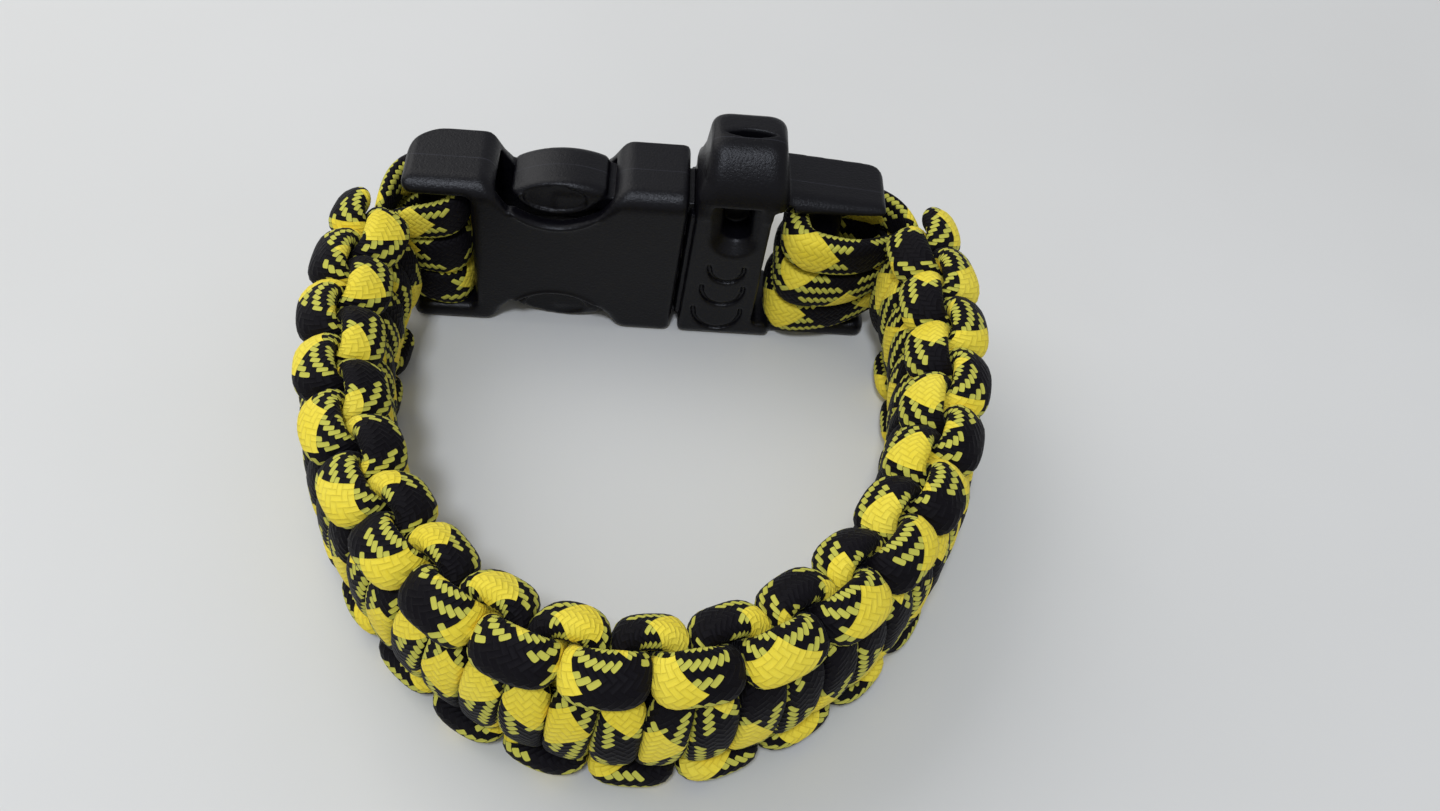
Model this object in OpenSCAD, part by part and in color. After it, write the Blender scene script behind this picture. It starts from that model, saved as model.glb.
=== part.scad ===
// Woven cord bracelet with a side-release whistle buckle, fastened and standing on its edge.
// Millimetres. The wrist axis is Z, the buckle lies along X at the back (+Y), and the table is z = 0.
// Two knotting cords wrap a flat core of cord that is wound three times round both buckle bars.

/* [Ring] */
// Width of the band's centre line, left to right
ring_w = 72; // [68:1:80]
// Depth of the ellipse that the centre line follows
ring_d = 98; // [92:1:110]
// Distance from the buckle's inner face forward to the middle of that ellipse
ring_set = 14; // [11:0.5:17]
// How far the weave is shifted to the right along the band
weave_shift = 1.1; // [0:0.1:2]

/* [Band] */
// Width of the band, which is its height as it stands
band_w = 22.8; // [21.5:0.1:24]
// Thickness of the band over the crossing bars
band_t = 10; // [9.4:0.1:11]
// Length of band that one half knot takes, about
knot_pitch = 4.3; // [4.1:0.05:4.6]
// Width of the knotting cord pressed flat
cord_w = 5.9; // [5.2:0.1:6.2]
// Thickness of the knotting cord pressed flat
cord_t = 3.6; // [3.2:0.1:3.8]
// Thickness of the flat core inside the weave
core_t = 3.4; // [3:0.1:3.8]
// Width of the weave's edge outside the core, on each side
edge_w = 5; // [4.6:0.1:5.4]
// Space between two cords
cord_gap = 0.2; // [0.16:0.01:0.24]
// How far the knots lean to the right towards the top edge, as a share of the height
knot_lean = 0.07; // [0:0.01:0.12]

/* [Buckle] */
// Width of the buckle, which is its height as it stands
buckle_w = 24; // [23.6:0.1:26]
// Thickness of the buckle
buckle_t = 11.4; // [11:0.1:13]
// Radius of the upper long edge on the wrist's side
edge_r = 2.6; // [1.5:0.1:3.2]
// Radius of the lower long edge on the wrist's side
foot_r = 1.2; // [0.6:0.1:2]
// Radius of the long edges on the outer side
outer_r = 0.5; // [0.3:0.1:1.5]
// Left end of the socket
socket_end = -32; // [-33:0.1:-31]
// Right face of the socket
socket_face = 3.6; // [3:0.1:4.2]
// Gap between the socket and the whistle
seam_gap = 1.05; // [0.8:0.05:1.4]
// How far that seam leans to the right, as a share of the height
seam_lean = 0.058; // [0:0.001:0.08]
// Wall round the socket's hollow
socket_wall = 1.8; // [1.5:0.1:2.2]
// Length of the socket's end frame, from its end to the closed body
socket_frame = 8.6; // [8.4:0.1:9.4]
// Height of the rails above and below the cord slots
rail_h = 2.5; // [2.3:0.1:4]
// Radius of the socket's upper and lower left corners
socket_corner = 1.5; // [1:0.1:4]
// Radius of the socket's outer left corner, seen from above
socket_round = 5.5; // [3:0.5:6]

/* [Release notches] */
// Place of the notches along the buckle
notch_x = -12.6; // [-13:0.1:-12]
// Width of each notch
notch_w = 14.8; // [14:0.1:15.4]
// Depth of each notch
notch_d = 6.1; // [5.5:0.1:7]
// Flare of the notch's upper corners
notch_flare = 1.2; // [0.8:0.1:2]
// Clearance round the plug inside the socket
fit_gap = 0.35; // [0.25:0.05:0.5]

/* [Whistle half] */
// Right end of the rails
plug_end = 30; // [29:0.1:31]
// Width of the whistle at its top
whistle_w = 10.85; // [9.8:0.05:11]
// How far the whistle narrows towards its foot
whistle_taper = 1.5; // [0.8:0.1:2]
// Height of the mouthpiece above the buckle's edge
mouth_h = 6.2; // [5:0.1:7]
// Thickness of the mouthpiece at its tip
mouth_t = 7; // [6:0.1:8]
// Width of the blow slot
blow_w = 6.4; // [5.5:0.1:7]
// Width of the sound window
window_w = 6.8; // [5.8:0.1:7]
// Height of the sound window
window_h = 8.1; // [7:0.1:8.4]
// Depth of the three curved grip grooves
groove_d = 0.5; // [0.3:0.05:0.7]

/* [Bars] */
// Thickness of both bars
bar_t = 4; // [3.6:0.1:4.2]
// Width of the socket's bar
socket_bar = 4; // [3.6:0.1:4.2]
// Width of the plug's bar
plug_bar = 5; // [4.4:0.1:5.4]
// Thickness of the cord where it wraps a bar
wrap_t = 2.9; // [2.6:0.1:3]
// Turns of cord round each bar
wraps = 3; // [3:1:3]
// How far the turns bow towards the wrist
wrap_bow = 0.8; // [0:0.1:1]

/* [Hidden] */
$fn = 48;

// Places of the ring and the buckle, with the middle of the whole on Z
depth = ring_d/2 + ring_set + band_t/2 + buckle_t;
inner_y = depth/2 - buckle_t;
outer_y = inner_y + buckle_t;
buckle_y = inner_y + buckle_t/2;
buckle_z = buckle_w/2;
ring_y = inner_y - ring_set;
band_z = band_w/2;

// The centre line's ellipse: angle 0 is the front, and the table gives the angle for a length of band
arc_step = 1.5;
arc_end = 123;
function ring_point(a) = [ring_w/2*sin(a), ring_y - ring_d/2*cos(a)];
function arc_rows(a, s) = a > arc_end ? [] :
    concat([[s, a]], arc_rows(a + arc_step, s + norm(ring_point(a + arc_step) - ring_point(a))));
arc_right = arc_rows(0, 0);
arc_table = concat([for (i = [len(arc_right) - 1:-1:1]) -arc_right[i]], arc_right);
function unit(v) = v/norm(v);
function ring_normal(a) = unit([sin(a)/ring_w, -cos(a)/ring_d]);
function ring_tangent(a) = unit([ring_w*cos(a), ring_d*sin(a)]);
// A point of the straight weave, given along, across and through the band, set on the ring
function on_ring(p) =
    let (a = lookup(p[0], arc_table), c = ring_point(a), n = ring_normal(a))
    [c[0] + n[0]*p[2], c[1] + n[1]*p[2], band_z + p[1]];

// The weave covers the ring as far as the buckle's inner face, in a whole number of knots
weave_angle = 90 + asin(ring_set/(ring_d/2));
weave_half = lookup(weave_angle, [for (r = arc_right) [r[1], r[0]]]);
half_knots = 2*round(weave_half/knot_pitch);
pitch = 2*weave_half/half_knots;
end_knot = half_knots/2;

// The knotting cord's path: waves added to a straight advance, as shares of the pitch,
// of the reach to the band's edge and of the height of the crossing bars
edge_reach = band_w/2 - 2.3;
bar_lift = (band_t + core_t)/4;
through_mid = 0.09;
//        along, across, through
waves = [[0.49, 1.054, 0.896],
         [0.074, -0.043, -0.006],
         [0, -0.011, -0.03]];
function path(t) = [
    pitch*(t + waves[0][0]*sin(360*t) + waves[1][0]*sin(720*t) + waves[2][0]*sin(1080*t)),
    edge_reach*(waves[0][1]*cos(180*t) + waves[1][1]*cos(540*t) + waves[2][1]*cos(900*t)),
    bar_lift*(through_mid - waves[0][2]*cos(360*t) - waves[1][2]*cos(720*t) - waves[2][2]*cos(1080*t))];
// The other cord is the first one turned half round the band's centre line
function turned(p) = [p[0], -p[1], -p[2]];

// Section of the knotting cord: a flat oval, cut back where a cord or the core lies beside it
cord_rings = 9;
// Angles of the section's points, from the side that faces away from the core
cord_angles = [0, 46, 90, 148, 212, 270, 314];
cord_sides = len(cord_angles);
least_r = 0.3;
oval_power = 2.5;
core_half = band_w/2 - edge_w;
function oval(a) = pow(pow(abs(cos(a))*2/cord_t, oval_power) + pow(abs(sin(a))*2/cord_w, oval_power),
                       -1/oval_power);
function core_space(p) =
    norm([max(abs(p[1]) - core_half + core_t/2, 0), p[2]]) - core_t/2;
function core_limit(c, u) = min(concat([9], [for (r = [0.3:0.1:3.4]) if (core_space(c + r*u) < cord_gap) r]));

// Points of both cords round the stretch from t = 0 to 1, and those near one place on it
own_stretch = 0.42;
near_reach = 7;
near_t = [for (i = [-36:60]) i/20];
near_front = [for (t = near_t) path(t)];
near_back = [for (p = near_front) turned(p)];
function neighbours(t) =
    let (c = path(t))
    concat([for (q = near_back) if (norm(q - c) < near_reach) q],
           [for (i = [0:len(near_t) - 1])
               if (abs(near_t[i] - t) > own_stretch && norm(near_front[i] - c) < near_reach) near_front[i]]);
function half_way(d, u) = (norm(d)*norm(d)/2 - cord_gap/2*norm(d))/(d*u);

// Where the cord's middle is at t, the two directions of its section, its curve and its neighbours
function spine(t) =
    let (c = path(t),
         back = path(t - 0.002),
         ahead = path(t + 0.002),
         along = unit(ahead - back),
         curve = (ahead + back - 2*c)/pow(norm(ahead - back)/2, 2),
         lift = c - [c[0], min(max(c[1], 0.8 - core_half), core_half - 0.8), 0],
         up = unit(lift - (lift*along)*along))
    [c, up, cross(along, up), curve - (curve*along)*along, neighbours(t)];
function spoke(s, j) = cos(cord_angles[j])*s[1] + sin(cord_angles[j])*s[2];
function first_radii(s) =
    [for (j = [0:cord_sides - 1])
        let (u = spoke(s, j),
             bend = s[3]*u,
             limits = [for (q = s[4]) if ((q - s[0])*u > 0.01) half_way(q - s[0], u)])
        max(least_r, min(oval(cord_angles[j]), core_limit(s[0], u), bend > 0.05 ? 0.9/bend : 9,
                         min(concat([9], limits))))];

// The rings stand closer together where the cord turns round the band's edge
edge_crowd = 0.1;
ring_t = [for (i = [0:cord_rings]) let (x = i/cord_rings) x - edge_crowd*sin(360*x)/(2*PI)];
spines = [for (t = ring_t) spine(t)];
half_spines = [for (i = [0:cord_rings - 1]) spine((ring_t[i] + ring_t[i + 1])/2)];

// Rings are joined by straight edges, so where an edge's middle comes too near a neighbour
// both its ends are drawn in, a little in each pass
draw_in = 0.95;
draw_passes = 14;
edge_gap = 0.05;
function turn_back(row) = [for (j = [0:cord_sides - 1]) row[(cord_sides - j) % cord_sides]];
function corner(radii, i, j) = spines[i][0] + radii[i][j]*spoke(spines[i], j);
function crowded(p, s) =
    core_space(p) < cord_gap/2 ||
    len([for (q = s[4]) let (d = q - s[0]) if ((p - s[0])*d > norm(d)*(norm(d) - edge_gap)/2) 1]) > 0;
function wrap_j(j) = (j + cord_sides) % cord_sides;
function tight_edges(radii) =
    [for (i = [0:cord_rings - 1]) [for (j = [0:cord_sides - 1]) [for (k = [-1:1])
        crowded((corner(radii, i, j) + corner(radii, i + 1, wrap_j(j + k)))/2, half_spines[i]) ? 1 : 0]]];
function drawn(radii, passes) = passes == 0 ? radii :
    let (tight = tight_edges(radii),
         after = [for (row = tight) [for (e = row) max(e)]],
         before = [for (row = tight) [for (j = [0:cord_sides - 1])
             max(row[wrap_j(j + 1)][0], row[j][1], row[wrap_j(j - 1)][2])]],
         next = [for (i = [0:cord_rings - 1])
             let (behind = i == 0 ? turn_back(before[cord_rings - 1]) : before[i - 1])
             [for (j = [0:cord_sides - 1]) radii[i][j]*(max(after[i][j], behind[j]) > 0 ? draw_in : 1)]])
    drawn(concat(next, [turn_back(next[0])]), passes - 1);
start_radii = [for (i = [0:cord_rings - 1]) first_radii(spines[i])];
radii = drawn(concat(start_radii, [turn_back(start_radii[0])]), draw_passes);
sections = [for (i = [0:cord_rings - 1]) [for (j = [0:cord_sides - 1]) corner(radii, i, j)]];

// One ring of the cord at step i, where every second half knot is the first one mirrored across the band
function cord_ring(i) =
    let (k = floor(i/cord_rings), s = sections[i - k*cord_rings], odd = abs(k) % 2 == 1)
    [for (j = [0:cord_sides - 1])
        let (p = odd ? s[(cord_sides - j) % cord_sides] : s[j])
        [p[0] + k*pitch, odd ? -p[1] : p[1], p[2]]];
function mid(points, i = 0) = i == len(points) ? [0, 0, 0] : points[i]/len(points) + mid(points, i + 1);

// A closed tube through rings that have the same number of points
module tube(rings) {
    m = len(rings[0]);
    n = len(rings);
    points = concat([for (r = rings) each r], [mid(rings[0]), mid(rings[n - 1])]);
    sides = [for (i = [0:n - 2], j = [0:m - 1])
        let (a = i*m + j, b = i*m + (j + 1) % m, c = a + m, d = b + m)
        each [[a, c, d], [a, d, b]]];
    caps = [for (j = [0:m - 1]) let (k = (j + 1) % m)
        each [[n*m, j, k], [n*m + 1, (n - 1)*m + k, (n - 1)*m + j]]];
    polyhedron(points, concat(sides, caps));
}

// A knotting cord from one end of the weave to the other; its tips dive beside the core
module knot_cord(last_ring, back) {
    tube([for (i = [-last_ring:last_ring])
        [for (p = cord_ring(i))
            let (q = back ? turned(p) : p)
            on_ring([q[0] + knot_lean*q[1] + weave_shift, q[1], q[2]])]]);
}

// The front cord ends two rings short of the last knot, and the back cord one ring past it
module front_knot_cord() {
    color("gold") knot_cord(end_knot*cord_rings - 2, false);
}

module back_knot_cord() {
    color("darkkhaki") knot_cord(end_knot*cord_rings + 1, true);
}

// The core: a flat bundle inside the weave that opens into three wraps round each bar
bar_gap = 0.15;
slot_play = 0.9;
socket_bar_set = 1.4;
socket_bar_x = socket_end + socket_bar_set + socket_bar/2;
plug_bar_x = socket_face + seam_gap + whistle_w + slot_play + wrap_t + bar_gap + plug_bar/2;
slot_h = buckle_w - 2*rail_h;
wrap_pitch = (slot_h - cord_gap)/wraps;
wrap_w = wrap_pitch - cord_gap;
bundle_w = 2*core_half - 2*cord_gap;
bundle_t = core_t - 1.6*cord_gap;
bundle_pitch = bundle_w/wraps;
bundle_round = 1.3;
bundle_step = 4;
leg_narrow = 1.1;
leg_steps = 4;
corner_steps = 2;
wrap_sides = 8;
// Half sizes of the path that a wrap takes round a bar, and its corner radius
function wrap_half(bar) = [bar/2 + bar_gap + wrap_t/2, bar_t/2 + bar_gap + wrap_t/2];
wrap_corner = wrap_t/2 + bar_gap + 1;

function bezier(a, b, c, d, t) =
    pow(1 - t, 3)*a + 3*pow(1 - t, 2)*t*b + 3*(1 - t)*t*t*c + pow(t, 3)*d;

// Plan of one wrap, as rows of a point and how far it has opened from the bundle (0) to the bar (1).
// dir is 1 at the plug and -1 at the socket; end_s is the length of band where the bundle ends.
function wrap_plan(dir, bar_x, bar, end_s) =
    let (half = wrap_half(bar),
         a = lookup(end_s, arc_table),
         n = ring_normal(a),
         up = dir*ring_tangent(a),
         start = ring_point(a),
         layer = bundle_t/4,
         out_start = start + layer*n,
         in_start = start - layer*n,
         far = [bar_x + dir*half[0]*0.3, buckle_y + half[1]],
         near_y = buckle_y - half[1] - wrap_bow,
         close = [bar_x + dir*half[0]*0.3, near_y],
         slot_x = bar_x - dir*(half[0] - wrap_corner),
         span = norm(far - out_start))
    concat(
        [[out_start - 3*up, 0]],
        [for (i = [0:leg_steps]) let (t = i/leg_steps)
            [bezier(out_start, out_start + 0.45*span*up, far + [dir*0.5*span, 0], far, t), sqrt(t)]],
        [for (i = [0:corner_steps]) let (b = 90*i/corner_steps)
            [[slot_x - dir*wrap_corner*sin(b), buckle_y + half[1] - wrap_corner*(1 - cos(b))], 1]],
        [for (i = [0:corner_steps]) let (b = 90 - 90*i/corner_steps)
            [[slot_x - dir*wrap_corner*sin(b), near_y + wrap_corner*(1 - cos(b))], 1]],
        [for (i = [0:leg_steps]) let (t = i/leg_steps)
            [bezier(close, close + [dir*0.45*span, 0], in_start + 0.25*span*up, in_start, t), sqrt(1 - t)]],
        [[in_start - 3*up, 0]]);

// One wrap swept along its plan: turn counts the wraps upwards from -1
module wrap(plan, turn) {
    last = len(plan) - 1;
    tube([for (i = [0:last])
        let (p = plan[i][0],
             open = plan[i][1],
             d = unit(plan[min(i + 1, last)][0] - plan[max(i - 1, 0)][0]),
             z = (1 - open)*(band_z + turn*bundle_pitch) + open*(buckle_z + turn*wrap_pitch),
             t = (1 - open)*(bundle_t/2 - 0.1) + open*wrap_t,
             w = (1 - open)*(bundle_pitch - leg_narrow) + open*wrap_w)
        [for (j = [0:wrap_sides - 1])
            let (a = 360*(j + 0.5)/wrap_sides,
                 k = pow(pow(abs(cos(a)), 3) + pow(abs(sin(a)), 3), -1/3))
            [p[0] - d[1]*cos(a)*k*t/2, p[1] + d[0]*cos(a)*k*t/2, z + sin(a)*k*w/2]]]);
}

module bundle(from_s, to_s) {
    steps = ceil((to_s - from_s)/bundle_step);
    w = bundle_w/2;
    t = bundle_t/2;
    outline = [[w, t - bundle_round], [w - bundle_round, t], [bundle_round - w, t], [-w, t - bundle_round],
               [-w, bundle_round - t], [bundle_round - w, -t], [w - bundle_round, -t], [w, bundle_round - t]];
    tube([for (i = [0:steps])
        [for (p = outline) on_ring([from_s + (to_s - from_s)*i/steps, p[0], p[1]])]]);
}

left_end = weave_shift - (end_knot + 0.4)*pitch;
right_end = weave_shift + (end_knot + 0.4)*pitch;
module core_cord() {
    color("dimgray") {
        bundle(left_end, right_end);
        for (turn = [-1:1]) {
            wrap(wrap_plan(-1, socket_bar_x, socket_bar, left_end), turn);
            wrap(wrap_plan(1, plug_bar_x, plug_bar, right_end), turn);
        }
    }
}

// Flat shapes of the buckle, made of squares and circles so that every arc is true
module round_rect(x0, x1, y0, y1, r) {
    translate([x0 + r, y0]) square([x1 - x0 - 2*r, y1 - y0]);
    translate([x0, y0 + r]) square([x1 - x0, y1 - y0 - 2*r]);
    for (x = [x0 + r, x1 - r], y = [y0 + r, y1 - r]) translate([x, y]) circle(r);
}
// A flat shape in X and Z, carried through the buckle from its inner face
module through(from_y = inner_y, to_y = outer_y) {
    translate([0, to_y, 0]) rotate([90, 0, 0]) linear_extrude(to_y - from_y) children();
}
// A flat shape in Y and Z, carried along X
module along_x(from_x, to_x) {
    translate([from_x, 0, 0]) rotate([90, 0, 90]) linear_extrude(to_x - from_x) children();
}
module both_edges() {
    children();
    translate([0, 0, buckle_w]) mirror([0, 0, 1]) children();
}

// The long rounded body that both halves are cut from, with a radius of its own on each edge
module buckle_bar_form(from_x, to_x) {
    along_x(from_x, to_x) intersection() {
        round_rect(inner_y, outer_y + buckle_t, -buckle_t, buckle_w, edge_r);
        round_rect(inner_y, outer_y + buckle_t, 0, buckle_w + buckle_t, foot_r);
        round_rect(inner_y - buckle_t, outer_y, 0, buckle_w, outer_r);
    }
}
seam_run = seam_lean*buckle_w/2;

frame_x = socket_end + socket_frame;
notch_r = (notch_w*notch_w/4 + notch_d*notch_d)/(2*notch_d);
module notch_shape(grow, flare) {
    translate([notch_x, buckle_w - notch_d + notch_r]) circle(notch_r + grow);
    polygon([[notch_x - notch_w/2 - flare, buckle_w + 1], [notch_x - notch_w/2 - flare, buckle_w],
             [notch_x - notch_w/2 + 1, buckle_w - flare - 1.4], [notch_x + notch_w/2 - 1, buckle_w - flare - 1.4],
             [notch_x + notch_w/2 + flare, buckle_w], [notch_x + notch_w/2 + flare, buckle_w + 1]]);
}

module bar(x, w) {
    translate([0, 0, rail_h - 0.5]) linear_extrude(slot_h + 1)
        round_rect(x - w/2, x + w/2, buckle_y - bar_t/2, buckle_y + bar_t/2, 1.2);
}

module buckle_socket() {
    color("#17181c") {
        difference() {
            intersection() {
                buckle_bar_form(socket_end, socket_face + 1);
                through() intersection() {
                    round_rect(socket_end, socket_face + buckle_t, 0, buckle_w, socket_corner);
                    polygon([[socket_end, 0], [socket_face - seam_run - 0.6, 0], [socket_face - seam_run, 0.6],
                             [socket_face + seam_run, buckle_w - 1], [socket_face + seam_run - 0.8, buckle_w],
                             [socket_end, buckle_w]]);
                }
                linear_extrude(buckle_w) intersection() {
                    round_rect(socket_end, socket_face + buckle_t, inner_y, outer_y + buckle_t, 2);
                    round_rect(socket_end, socket_face + buckle_t, inner_y - buckle_t, outer_y, socket_round);
                }
            }
            both_edges() through(inner_y - 1, outer_y + 1) notch_shape(0, notch_flare);
            // The hollow that takes the plug, open to the right
            translate([frame_x + socket_wall, inner_y + socket_wall, socket_wall])
                cube([socket_face + 1 - frame_x, buckle_t - 2*socket_wall, buckle_w - 2*socket_wall]);
            // The cord slot
            translate([socket_end - 1, inner_y - 1, rail_h])
                cube([frame_x - socket_end + 1, buckle_t + 2, slot_h]);
        }
        bar(socket_bar_x, socket_bar);
    }
}

// Places of the whistle half
whistle_x = socket_face + seam_gap;
whistle_end = whistle_x + whistle_w;
plug_wall = socket_wall + fit_gap;
prong_t = 2.2;
prong_in = 6.4;
neck_in = 2.4;
flange_t = 0.7;
flange_set = 0.9;
flange_end = 3;
flange_run = seam_lean*(buckle_w/2 - flange_end);
guide_h = 4;
guide_t = 3;
pad_x = notch_x + 1.2;
pad_r = 12.8;
pad_drop = 0.1;
pad_set = 1.6;
module prong() {
    // The spring arm, and the pad that fills the notch to the buckle's edge
    through(inner_y + plug_wall, outer_y - plug_wall) {
        translate([notch_x, buckle_w - plug_wall - prong_t]) square([whistle_x - notch_x + 1, prong_t]);
    }
    intersection() {
        through(inner_y + pad_set, outer_y - pad_set) intersection() {
            translate([notch_x, buckle_w - notch_d + notch_r + 0.2]) circle(notch_r - fit_gap - 0.2);
            translate([pad_x, buckle_w - pad_drop - pad_r]) circle(pad_r);
            translate([notch_x - notch_w/2, buckle_w - notch_d]) square([notch_w, notch_d]);
        }
        along_x(notch_x - notch_w, notch_x + notch_w)
            round_rect(inner_y + pad_set, outer_y - pad_set, 2, buckle_w - pad_drop/2, 1.6);
    }
}

module plug_body() {
    intersection() {
        buckle_bar_form(whistle_x - 1, plug_end);
        through() polygon([[whistle_x - seam_run + 0.6, 0], [plug_end - 2.4, 0.3], [plug_end - 0.6, 1.4],
                           [plug_end, rail_h], [plug_end, buckle_w - rail_h], [plug_end - 0.6, buckle_w - 2],
                           [plug_end - 2.4, buckle_w - 0.9], [whistle_end + 1.4, buckle_w],
                           [whistle_x + seam_run - 0.2, buckle_w], [whistle_x - seam_run, 0.6]]);
        linear_extrude(buckle_w) {
            translate([whistle_x - 1, inner_y]) square([whistle_end + 2 - whistle_x, buckle_t]);
            intersection() {
                round_rect(whistle_x + 2, plug_end, inner_y + 1, outer_y + buckle_t, 2);
                round_rect(whistle_x + 2, plug_end, inner_y - buckle_t, outer_y, 3);
            }
        }
    }
}

mouth_top = buckle_w + mouth_h;
mouth_root = buckle_w - rail_h;
module mouthpiece() {
    intersection() {
        through() polygon([[whistle_x + 0.4, mouth_root], [whistle_x + 0.5, buckle_w - 0.4],
                           [whistle_x + 1.1, buckle_w + 1.4], [whistle_x + 1.95, mouth_top - 1],
                           [whistle_x + 2.85, mouth_top], [whistle_end - 0.4, mouth_top],
                           [whistle_end + 0.4, mouth_top - 0.9], [whistle_end + 1.1, buckle_w],
                           [whistle_end + 1.1, mouth_root]]);
        along_x(whistle_x, whistle_end + 2)
            polygon([[inner_y, mouth_root], [inner_y + 0.3, buckle_w - 1], [outer_y - mouth_t - 0.5, mouth_top - 1],
                     [outer_y - mouth_t + 0.5, mouth_top], [outer_y - 0.9, mouth_top], [outer_y - 0.3, mouth_top - 0.6],
                     [outer_y, buckle_w - 2], [outer_y, mouth_root]]);
    }
}

window_x = whistle_x + whistle_w/2 + 0.3;
window_z = 18.3;
window_top = window_z + window_h - window_w/2;
window_deep = 5;
blow_x = window_x + 1;
blow_y = outer_y - mouth_t/2 - 1;
// The sound window: a half-round opening with a flat top and a floor that slopes up to the face
module window_cut() {
    intersection() {
        through(inner_y - 1, inner_y + window_deep) {
            translate([window_x - window_w/2, window_z - 0.01]) square([window_w, window_top - window_z]);
            translate([window_x, window_z]) circle(window_w/2);
        }
        along_x(window_x - window_w, window_x + window_w)
            polygon([[inner_y - 1, window_z - window_w/2 - 0.9], [inner_y + window_deep, window_z],
                     [inner_y + window_deep, window_top], [inner_y - 1, window_top]]);
    }
    // The air way from the blow slot down to the window
    hull() {
        translate([blow_x, blow_y, mouth_top + 0.5]) scale([1, 0.26, 1])
            cylinder(d = blow_w, h = 0.01, $fn = 32);
        translate([window_x, inner_y + window_deep - 1.2, window_z + 2]) scale([1, 0.26, 1])
            cylinder(d = blow_w - 1, h = 0.01, $fn = 32);
    }
}

groove_w = 0.6;
// Each groove's middle, the height of its lowest point, its radius and the height of its arms
grooves = [[9.9, 10.3, 2.3, 0.5], [9.6, 6.1, 2.8, 0.6], [9.2, 1.5, 3.2, 0.6]];
module cup(r, arm) {
    circle(r);
    translate([-r, 0]) square([2*r, arm]);
}
module grip_grooves() {
    for (g = grooves) through(inner_y - 1, inner_y + groove_d) translate([g[0], g[1] + g[2]])
        difference() {
            cup(g[2] + groove_w/2, g[3]);
            cup(g[2] - groove_w/2, g[3] + 1);
            translate([-2*g[2], g[3]]) square(4*g[2]);
        }
}

module buckle_plug() {
    color("#17181c") {
        difference() {
            union() {
                plug_body();
                mouthpiece();
            }
            // The cord slot, with the whistle's foot cut back aslant
            through(inner_y - 1, outer_y + 1)
                polygon([[whistle_end - whistle_taper, rail_h], [plug_end + 1, rail_h],
                         [plug_end + 1, buckle_w - rail_h], [whistle_end - 0.5, buckle_w - rail_h]]);
            window_cut();
            grip_grooves();
        }
        bar(plug_bar_x, plug_bar);
        // The flange in the seam, the neck and the guide that enter the socket, and the two prongs
        through(inner_y + flange_set, outer_y - flange_set)
            polygon([[whistle_x - flange_run - flange_t, flange_end], [whistle_x - flange_run + 0.5, flange_end],
                     [whistle_x + flange_run + 0.5, buckle_w - flange_end],
                     [whistle_x + flange_run - flange_t, buckle_w - flange_end]]);
        translate([socket_face - neck_in, inner_y + plug_wall, plug_wall])
            cube([whistle_x - socket_face + neck_in + 1.2, buckle_t - 2*plug_wall, buckle_w - 2*plug_wall]);
        translate([socket_face - prong_in, inner_y + plug_wall, plug_wall])
            cube([whistle_x - socket_face + prong_in + 1.2, buckle_t - 2*plug_wall, prong_t + 0.4]);
        translate([socket_face - prong_in, inner_y + plug_wall, buckle_w - plug_wall - prong_t - 0.4])
            cube([whistle_x - socket_face + prong_in + 1.2, buckle_t - 2*plug_wall, prong_t + 0.4]);
        translate([notch_x - guide_h, buckle_y - guide_t/2, buckle_z - guide_h/2])
            cube([whistle_x - notch_x + guide_h + 0.5, guide_t, guide_h]);
        both_edges() prong();
    }
}

buckle_socket();
buckle_plug();
core_cord();
front_knot_cord();
back_knot_cord();
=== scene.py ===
# A bracelet woven from yellow and black cord, with a moulded whistle buckle, on a pale table.
import math
import bmesh
import bpy
import numpy as np
from mathutils import Matrix, Vector


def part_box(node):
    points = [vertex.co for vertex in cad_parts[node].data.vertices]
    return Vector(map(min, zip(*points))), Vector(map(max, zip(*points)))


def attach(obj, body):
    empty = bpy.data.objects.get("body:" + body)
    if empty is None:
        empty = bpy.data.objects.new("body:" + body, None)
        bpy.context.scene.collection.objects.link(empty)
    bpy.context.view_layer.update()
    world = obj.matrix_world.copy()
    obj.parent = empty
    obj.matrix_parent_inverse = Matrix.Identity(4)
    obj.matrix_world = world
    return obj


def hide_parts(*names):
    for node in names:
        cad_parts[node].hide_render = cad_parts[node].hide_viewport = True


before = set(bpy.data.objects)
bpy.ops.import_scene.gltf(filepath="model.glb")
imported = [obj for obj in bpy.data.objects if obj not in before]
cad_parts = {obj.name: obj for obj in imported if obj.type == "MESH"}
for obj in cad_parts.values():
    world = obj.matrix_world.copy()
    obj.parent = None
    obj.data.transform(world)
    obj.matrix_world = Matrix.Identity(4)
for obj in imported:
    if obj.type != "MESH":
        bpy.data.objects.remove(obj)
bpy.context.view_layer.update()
mm = 0.001
tau = 2 * math.pi
scene = bpy.context.scene

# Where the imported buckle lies, in millimetres: X runs along it, and Y away from the wrist
socketLow, socketHigh = [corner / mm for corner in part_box("buckle_socket")]
innerFace = socketLow.y
outerFace = socketHigh.y
buckleY = (innerFace + outerFace) / 2
buckleZ = socketHigh.z / 2
print("frame loaded, socket from", round(socketLow.x, 1), "to", round(socketHigh.x, 1), "mm")

look = {
    "place": (-1.88, -104.35, 141.62),  # mm
    "down": 49.59,  # degrees below the horizon
    "turn": -5.71,  # degrees, to the right when less than 0
    "roll": 7.72,
    "focalPixels": 1403.93,
    "pictureWidth": 1440,
    "nearest": 0.01,  # metres
}


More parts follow.
